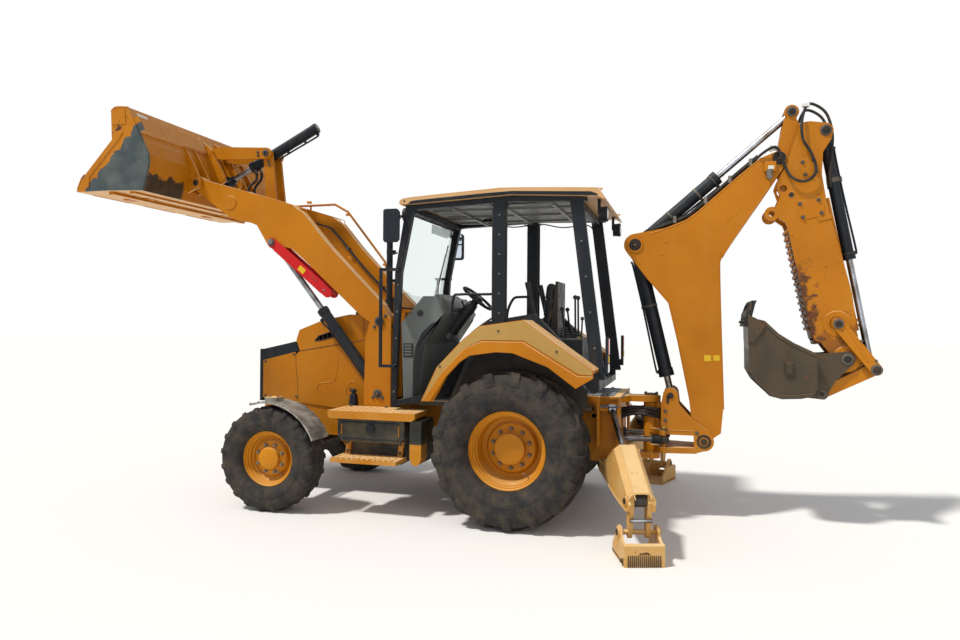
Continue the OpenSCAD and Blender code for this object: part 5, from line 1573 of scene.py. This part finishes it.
# control valve bank with its spools and the hose bundle that arcs over to the swing post
f = Shape()
f.solid((500, -180, 780), (760, 180, 940), ease=4)
for k in range(7):
    f.rod((520 + 36 * k, 0, 938), (520 + 36 * k, 0, 968), 13, 11, 14)
    f.rod((520 + 36 * k, -180, 860), (520 + 36 * k, -214, 860), 13, 12, 14, 1)
f.piece("valve_bank", "frame", [cast, bolt_steel], soften=3)
for k in range(6):
    f = Shape()
    row = k % 3
    y0 = -75 + 30 * k
    z0 = 820 + 34 * row
    bow = (96 + 24 * row) * (-1 if y0 < 0 else 1)
    line = smooth_line([
        spot(766, y0, z0), spot(900, y0 * 0.95, z0 + 64 - 8 * row),
        spot(1010, y0 * 0.9, z0 + 78 - 12 * row), spot(1130, bow, z0 + 66),
        spot(1236, y0 * 0.5, z0 + 40), spot(1330, y0 * 0.6, 900 + 12 * k)], 8)
    f.sweep(line, round_section(12, 0.015))
    hose = f.piece("swing_hose_%d" % k, None, [hose_rubber])
    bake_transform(hose)

# Boom.
# Box section plate boom: pin bosses with retaining rings, blank label, weld seams, small
# yellow labels, and the hoses clamped along its top edge.
boom_nose, stick_pivot = (958, 2416), (2160, 3130)
stick_rod_pin, boom_rod_pin = (2261, 3532), (1275, 1080)
f = Shape()
for side in (-1, 1):
    for (x, z), y in ((boom_nose, 149), (stick_pivot, 145)):
        f.turned((x, side * y, z), (0, side, 0),
                 [(0, -1), (32, -1), (32, 6), (22.4, 9), (8.96, 9), (7.68, 4), (0, 4)], 36)
        f.boss(x, side * 135, z, [(33, -1), (54, -1), (54, 12), (48, 14), (33, 12)], 40)
f.piece("boom_pin_heads", "boom", [pin_black])
f = Shape()
for side in (-1, 1):
    y = side * 135
    for line in ([(1080, 2510), (1214, 2550), (1397, 2620), (1495, 2690), (1833, 2988),
                  (2004, 3128)],
                 [(2085, 2890), (1821, 2489), (1714, 2315), (1682, 2218), (1722, 970)],
                 [(1438, 1046), (1334, 1562), (1256, 1896), (1082, 2104)]):
        f.tube([(x, y * 0.996, z) for x, z in line], 4.5, 8)
    for x, z in ((1226, 2440), (1186, 2330)):
        f.boss(x, y, z, [(0, -1), (18, -1), (18, 3), (14, 5), (0, 5)], 24)
f.piece("boom_seams", "boom", [yellow])
f = Shape()
for side in (-1, 1):
    corner = [on_line((1480, 2640), (1880, 3030), d, side * 135, o) for d, o in
              ((20, -20), (330, -20), (390, -110), (330, -215), (20, -215))]
    f.prism([spot(*p) for p in corner], Vector((0, side * 0.0016, 0)))
f.piece("boom_blank_plates", "boom", [yellow], soften=0.5)
f = Shape()
f.side_plates([(1556, 1386), (1614, 1386), (1614, 1438), (1556, 1438)], 135, 136.6)
f.side_plates([(1634, 1392), (1686, 1392), (1686, 1438), (1634, 1438)], 135, 136.6)
f.piece("boom_labels", "boom", [yellow_label], soften=0.4)

for side in (-1, 1):
    f = Shape()
    for k, r in ((0, 12), (1, 12), (2, 8)):
        y = side * (48 + 30 * k)
        lift = 12 + 12 * (k % 2)
        f.tube([(1100, y * 0.8, 2552), (1214, y, 2578 + lift), (1397, y, 2646 + lift),
                (1490, y, 2716 + lift), (1833, y, 3016 + lift), (1990, y, 3146 + lift)], r, 10)
    for x, z in ((1300, 2614), (1560, 2776), (1760, 2950), (1930, 3090)):
        lo, hi = sorted((side * 30, side * 128))
        f.solid((x - 14, lo, z - 8), (x + 14, hi, z + 52), 1, ease=2)
    f.piece("boom_top_hoses_%d" % (side + 1), "boom", [hose_rubber, nut_steel])

# hoses up the back of the boom beside the boom cylinder, from the post to the boom nose
f = Shape()
for k in range(4):
    y = -66 + 44 * k
    f.tube([(1466, y, 1040), (1372, y, 1460), (1286, y, 1850), (1226, y * 0.9, 1960),
            (1150, y * 0.9, 2040)], 13, 10)
for z, x in ((1300, 1390), (1640, 1318)):
    f.solid((x - 8, -96, z - 14), (x + 34, 96, z + 14), 1, ease=2)
f.piece("boom_back_hoses", "boom", [hose_rubber, bolt_steel])

# Cylinders of the backhoe.
# Black barrels with glands, pipes, band clamps and bare steel ports.


def cylinder_dress(name, body, a, b, length, radius, under, bands):
    """Gland, pipe and band clamps of a barrel from a towards b; under puts the pipe on a side."""
    f = Shape()
    clamp_ring(f, a, b, length - 22, 0, radius + 8, 44)
    clamp_ring(f, a, b, length - 52, 0, radius + 6, 8, 1)
    clamp_ring(f, a, b, 112, 0, radius + 3, 18)

    def beside(d, off):
        return on_line(a, b, d, 0, under * (radius + off))

    f.rod(beside(length - 50, -8), beside(length - 50, 24), 15, sides=16)
    f.tube([beside(length - 50, 20), beside(length - 130, 20), beside(length * 0.5, 9),
            beside(180, 9), beside(130, 20)], 9, 10)
    for d in bands:
        clamp_ring(f, a, b, d, 0, radius + 3, 20, 1)
        f.rod(beside(d, 0), beside(d, 22), 13, sides=12, slot=1)
    f.piece(name, body, [black, bolt_steel])


bucket_barrel_pin, link_pin = (2524, 3346), (2905, 1345)
cylinder_dress("boom_barrel_fittings", "boom_barrel", boom_nose, boom_rod_pin, 1210, 60, -1,
               (560,))
cylinder_dress("stick_barrel_fittings", "stick_barrel", boom_nose, stick_rod_pin, 925, 56, -1,
               (400, 700))
cylinder_dress("bucket_barrel_fittings", "bucket_barrel", bucket_barrel_pin, link_pin, 1100, 47, 1,
               (400, 420))
for name, (x, z), bore, r, rim, half, flat in (("stick_rod", stick_rod_pin, 27, 50, 53, 42, 38),
                                               ("bucket_rod", link_pin, 29, 50, 52, 48, 45),
                                               ("boom_rod", boom_rod_pin, 31, 56, 59, 46, 42)):
    f = Shape()
    f.turned((x, 0, z), (0, 1, 0), [(bore, -half), (r, -half), (rim, -flat), (rim, flat),
                                    (r, half), (bore, half)], 36)
    f.piece(name + "_eye", name, [black])

# Stick and its sliding part.
# Pins with big black retaining washers, bolted wear pad covers, a clamp bracket with a silver
# lock pin, a lifting eye, a ledge for the pad and rust along the notched edge.


def rack_wear(f, colour):
    """Rust that creeps in from the notched edge of the sliding stick."""
    x, z = f.part("Object", "X"), f.part("Object", "Z")
    # away is the distance in metres from the notched edge, which leans with the stick
    slanted = f.maths("ADD", f.maths("MULTIPLY", x, 0.9788), f.maths("MULTIPLY", z, 0.2050))
    away = f.maths("ADD", slanted, -3.3125)
    ragged = f.ramp(f.noise(14, 9, blur=0.68), 0.32, 0.68, -0.11, 0.09)
    near = f.ramp(f.maths("ADD", away, ragged), 0.075, 0.02)
    low = f.ramp(f.maths("ADD", z, ragged), 2.30, 2.05)
    foot = f.ramp(f.maths("ADD", z, f.maths("MULTIPLY", ragged, 2)), 1.74, 1.60, 0, 0.55)
    rust = f.over(f.ramp(f.noise(30, 7), 0.4, 0.62), linear(104, 60, 26), linear(70, 44, 28))
    return f.over(f.maths("MAXIMUM", f.maths("MULTIPLY", near, low), foot), colour, rust)


rack_yellow = enamel("rack_enamel", (184, 114, 4), (170, 102, 2),
                     (234, 196, 142), (176, 132, 62), (84, 52, 28), chips=0.63,
                     wear=rack_wear)
coat_node(rack_yellow, "stick_extension")

rust_steel = enamel("worn_steel", (78, 66, 50), (60, 52, 42), (126, 108, 82),
                    (104, 86, 62), (104, 66, 36), chips=0.58)
coat_node(rust_steel, "hoe_bucket")

stick_lean = math.radians(11.83)


def stick_spot(x, z):
    """A point drawn along the stick, as a side point of the machine."""
    return (stick_pivot[0] + x * math.cos(stick_lean) - z * math.sin(stick_lean),
            stick_pivot[1] + x * math.sin(stick_lean) + z * math.cos(stick_lean))


hoe_bucket_pin, guide_pin = (2692, 1428), (2617, 1721)
pin_ends("stick_pin_heads", "stick", both_sides([(stick_rod_pin[0], stick_rod_pin[1], 96, 26)]))
pin_ends("stick_nose_pins", "stick_extension",
         both_sides([(bucket_barrel_pin[0], bucket_barrel_pin[1], 134, 30),
                     (guide_pin[0], guide_pin[1], 205, 26)]))
pin_ends("hoe_pin_heads", "stick_extension",
         both_sides([(hoe_bucket_pin[0], hoe_bucket_pin[1], 172, 30)]))
rows = []
f = Shape()
for side in (-1, 1):
    y = side * 128
    for low, high in (((150, -210), (280, -60)), ((60, -560), (250, -400))):
        (x0, z0), (x1, z1) = low, high
        face = [stick_spot(*p) for p in ((x0, z0), (x1, z0), (x1 + 12, (z0 + z1) / 2), (x1, z1),
                                         (x0, z1))]
        lo, hi = sorted((y, y + side * 5))
        f.plate(face, lo, hi)
        for x, z in ((x0 + 20, z0 + 22), (x1 - 22, z0 + 24), (x1 - 22, z1 - 24),
                     (x0 + 20, z1 - 22)):
            px, pz = stick_spot(x, z)
            rows.append(((px, y + side * 5, pz), (0, side, 0)))
    ledge = [stick_spot(*p) for p in ((190, -600), (296, -600), (296, -566), (190, -566))]
    lo, hi = sorted((y, y + side * 7))
    f.plate(ledge, lo, hi)
    px, pz = stick_spot(30, -330)
    f.boss(px, y, pz, [(22, -1), (30, -1), (29, 3), (22, 3)], 28)
    for centre in ((158.6, -1473), (172, -1775)):
        px, pz = stick_spot(*centre)
        f.boss(px, y, pz, [(54, -1), (110, -1), (104, 5), (58, 6)], 40)
for place, r in (((330, -840), 32), ((340, -1500), 34)):
    px, pz = stick_spot(*place)
    f.turned((px, -8, pz), (0, 1, 0), [(13, 0), (r, 0), (r, 16), (13, 16)], 28)
f.piece("stick_cover_plates", "stick_extension", [yellow], soften=1.2)
bolt_rows("stick_cover_bolts", "stick_extension", rows, 22)
# painted shade: black discs fill the bolt-hole rings on the stick's sides, standing in for the
# shade inside the holes
f = Shape()
px, pz = stick_spot(30, -330)
for side in (-1, 1):
    f.rod((px, side * 128 * 0.99, pz), (px, side * 129.5, pz), 22, 22, 24)
f.piece("stick_hole_shade", "stick_extension", [pin_black])
f = Shape()
for side in (-1, 1):
    lo, hi = sorted((side * 98, side * 129))
    for k in range(46):
        x, z = stick_spot(-56, -640 - 18 * k)
        f.solid((x - 9, lo, z - 6), (x + 3, hi, z + 6), ease=2)
f.piece("stick_rack_teeth", "stick_extension", [rust_steel])

# boom head bracket: white clamp, lock pin with its flag, and the transport lock bar
f = Shape()
f.solid((2035, -170, 3016), (2135, -140, 3100), ease=4)
f.rod((2079, -170, 2960), (2079, -170, 3030), 24, 24, 24, 1)
f.rod((2079, -196, 2964), (2079, -150, 2964), 20, 18, 24, 1)
f.solid((2065, -182, 3030), (2115, -166, 3062), 2, ease=2)
f.piece("boom_lock_bracket", "boom", [yellow, nut_steel, blank_label], soften=2)
f = Shape()
f.solid((2090, -168, 3200), (2150, -110, 3226), ease=3)
f.solid((2340, -128, 3560), (2400, -80, 3588), ease=3)
f.solid((2080, -156, 3188), (2100, -120, 3240), ease=2)
f.piece("hose_clamps", "boom", [blank_label], soften=2)

# Backhoe bucket.
# Worn brown steel: welded lip, side cutters, wrapper bands, tooth shanks with their points and
# a cast wear block on each side.
f = Shape()
f.side_plates([(1914, 1320), (1966, 1232), (2087, 1116), (2183, 1093), (2321, 1102), (2410, 1120),
               (2412, 1152), (2318, 1134), (2188, 1126), (2098, 1148), (1990, 1256),
               (1944, 1334)], 305, 317)
f.side_plates([(1902, 1790), (1908, 1560), (1950, 1560), (2010, 1640), (2040, 1700),
               (1966, 1764)], 304, 322)
f.side_plates([(2196, 1290), (2262, 1290), (2262, 1400), (2196, 1400)], 305, 325)
f.side_plates([(2208, 1302), (2250, 1302), (2250, 1388), (2208, 1388)], 320, 330)
f.side_plates([(2440, 1472), (2398, 1495), (2265, 1559), (2147, 1635), (2035, 1744), (2020, 1720),
               (2134, 1606), (2256, 1530), (2390, 1466), (2436, 1446)], 303, 313)
f.piece("hoe_bucket_cutters", "hoe_bucket", [rust_steel], soften=3)
f = Shape()
for i in range(5):
    y = -265 + 530 * i / 4
    f.prism([spot(1872, y - 36, 1690), spot(1872, y + 36, 1690), spot(1884, y + 34, 1800),
             spot(1912, y + 20, 1880), spot(1932, y + 12, 1912), spot(1932, y - 12, 1912),
             spot(1912, y - 20, 1880), spot(1884, y - 34, 1800)], Vector((0.046, 0, 0.001)))
    f.rod((1862, y, 1730), (1938, y, 1734), 11, 11, 14)
f.piece("hoe_bucket_points", "hoe_bucket", [pin_black], soften=5)
f = Shape()
for k in range(3):
    y = -210 + 210 * k
    lo, hi = y - 26, y + 26
    f.plate([(1908, 1500), (1910, 1314), (1960, 1224), (2084, 1108), (2182, 1084), (2320, 1093),
             (2320, 1100), (2183, 1092), (2088, 1116), (1968, 1232), (1918, 1318), (1916, 1500)],
            lo, hi)
f.piece("hoe_bucket_bands", "hoe_bucket", [rust_steel], soften=1)
pin_ends("ear_pin_heads", "bucket_link", both_sides([(2499, 1133, 170, 20)]))
pin_ends("guide_pin_heads", "guide_link", both_sides([(link_pin[0], link_pin[1], 197, 30)]))
side_bolts("guide_link_bolts", "guide_link", 197, [(2790, 1580), (2900, 1420)], 16)
f = Shape()
f.side_plates([(guide_pin[0] + 60, guide_pin[1] - 40), (link_pin[0] - 70, link_pin[1] + 60),
               (link_pin[0] - 58, link_pin[1] + 74), (guide_pin[0] + 72, guide_pin[1] - 26)], 197,
               201)
f.piece("guide_link_beads", "guide_link", [yellow], soften=1)

# Hoses at the head of the stick.
# Two rubber hoses leave the boom's clamp, drop in a loop and rise to the bucket cylinder; they
# bend across the stick's pivot.
for k, y in enumerate((-178, 178)):
    f = Shape()
    path = [(1960, y * 0.6, 3120), (2020, y * 0.9, 3170), (2104, y, 3216), (2150, y, 3190),
            (2190, y, 3070), (2250, y, 2960), (2340, y, 2916), (2420, y, 2950), (2440, y, 3040),
            (2400, y, 3160), (2340, y, 3270), (2330, y, 3420), (2372, y * 0.62, 3562),
            (2430, y * 0.55, 3580), (2530, y * 0.5, 3500), (2580, y * 0.42, 3340),
            (2580, y * 0.36, 3160), (2566, y * 0.3, 2990), (2578, y * 0.3, 2880)]
    line = smooth_line([spot(*p) for p in path], 8)
    f.sweep(line, round_section(12, 0.012))
    hose = f.piece("stick_head_hose_%d" % k, None, [hose_rubber])
    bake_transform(hose)

# Stabilisers.
# Folded box legs with a chamfered cover in light sand, partly dust and partly painted sunlight;
# pinned pads with a toothed front edge; black cylinders with bright rods.
# painted light: legs and pads are a light sand colour, partly real dust and partly painted
# sunlight on the cover
sand_yellow_sunlit = enamel("stabiliser_dusty_sunlit", (206, 158, 84), (192, 140, 62), (222, 190, 138),
                     (208, 176, 126), (140, 84, 46), dust_top=1.5, bleach_and_sunlight=0.95, chips=0.62)
coat_node(sand_yellow_sunlit, "leg_left", "leg_right", "pad_left", "pad_right")


def leg_spot(side, x, y, z):
    """A point drawn along a leg: x outwards, y across, z up."""
    turn = math.radians(72)
    return (790 + x * math.cos(turn) - y * math.sin(turn),
            side * (490 + x * math.sin(turn) + y * math.cos(turn)), z)


def barrel_spot(side, d):
    """The point at distance d along a leg's cylinder, from its pin on the leg."""
    return leg_spot(side, 1000 - 969 * d / 1114, 0, 430 + 550 * d / 1114)


for side, name in ((-1, "left"), (1, "right")):
    f = Shape()
    out = Vector(leg_spot(side, 0, 1, 0)) - Vector(leg_spot(side, 0, 0, 0))
    for s in (-1, 1):
        for (x, z), y, r in (((1000, 430), 104, 22), ((0, 500), 98, 20)):
            f.turned(leg_spot(side, x, s * y, z), out * s,
                     [(0, -2), (r, -2), (r, 10), (r * 0.75, 14), (0, 14)], 28)
            f.turned(leg_spot(side, x, s * (y - 4), z), out * s,
                     [(r + 1, -1), (r + 14, -1), (r + 13, 6), (r + 1, 6)], 32, [1] * 4)
    f.piece("leg_pin_heads_" + name, "leg_" + name, [pin_black, sand_yellow_sunlit])
    f = Shape()
    for s in (-1, 1):
        line = [leg_spot(side, x, s * 97, z) for x, z in ((-20, 470), (600, 380), (984, 360),
                                                          (1070, 380))]
        f.tube(line, 5, 8)
        line = [leg_spot(side, x, s * 97, z) for x, z in ((170, 540), (560, 720), (600, 706))]
        f.tube(line, 5, 8)
        line = [leg_spot(side, 604 + 520 * k, s * 58, 769 - 304 * k) for k in (0, 0.5, 1)]
        f.tube(line, 4, 8)
    # rolled rim round the open lower end of the cover
    f.tube([leg_spot(side, x, y, z) for x, y, z in
            ((1058, -97, 426), (1058, -97, 448), (1054, -60, 488), (1054, 0, 496), (1054, 60, 488),
             (1058, 97, 448), (1058, 97, 426))], 9, 8)
    f.rod(leg_spot(side, 1052, -78, 300), leg_spot(side, 1052, 78, 300), 14, 14, 20, 1)
    f.piece("leg_seams_" + name, "leg_" + name, [sand_yellow_sunlit, steel])
    f = Shape()
    for low, high, r in ((533, 577, 50), (92, 108, 46), (521, 529, 46)):
        f.rod(barrel_spot(side, low), barrel_spot(side, high), r, r, 32)
    port = barrel_spot(side, 540)
    f.rod(port, (port[0], port[1], port[2] + 66), 13, 12, 14, 1)
    f.piece("leg_barrel_fittings_" + name, "leg_barrel_" + name, [black, bolt_steel])
    f = Shape()
    for s in (-1, 1):
        f.turned(leg_spot(side, 974, s * 154, 200), out * s,
                 [(0, -2), (24, -2), (24, 6), (18, 9), (0, 9)], 28)
    f.tube([leg_spot(side, 1146, y, z) for y, z in
            ((-52, 66), (-46, 92), (-28, 108), (0, 114), (28, 108), (46, 92), (52, 66))], 6, 8)
    for s in (-1, 1):
        f.tube([leg_spot(side, x, s * 146, z) for x, z in ((776, 20), (1150, 20))], 5, 8)
    f.rod(leg_spot(side, 1120, 142, 40), leg_spot(side, 1120, 166, 40), 16, 13, 20)
    f.piece("pad_fittings_" + name, "pad_" + name, [pin_black])
    f = Shape()
    for k in range(17):
        at = -114 + 228 * k / 16
        f.rod(leg_spot(side, 1158, at, 4), leg_spot(side, 1154, at, 84), 5, 5, 8)
    f.piece("pad_comb_" + name, "pad_" + name, [rust_steel])
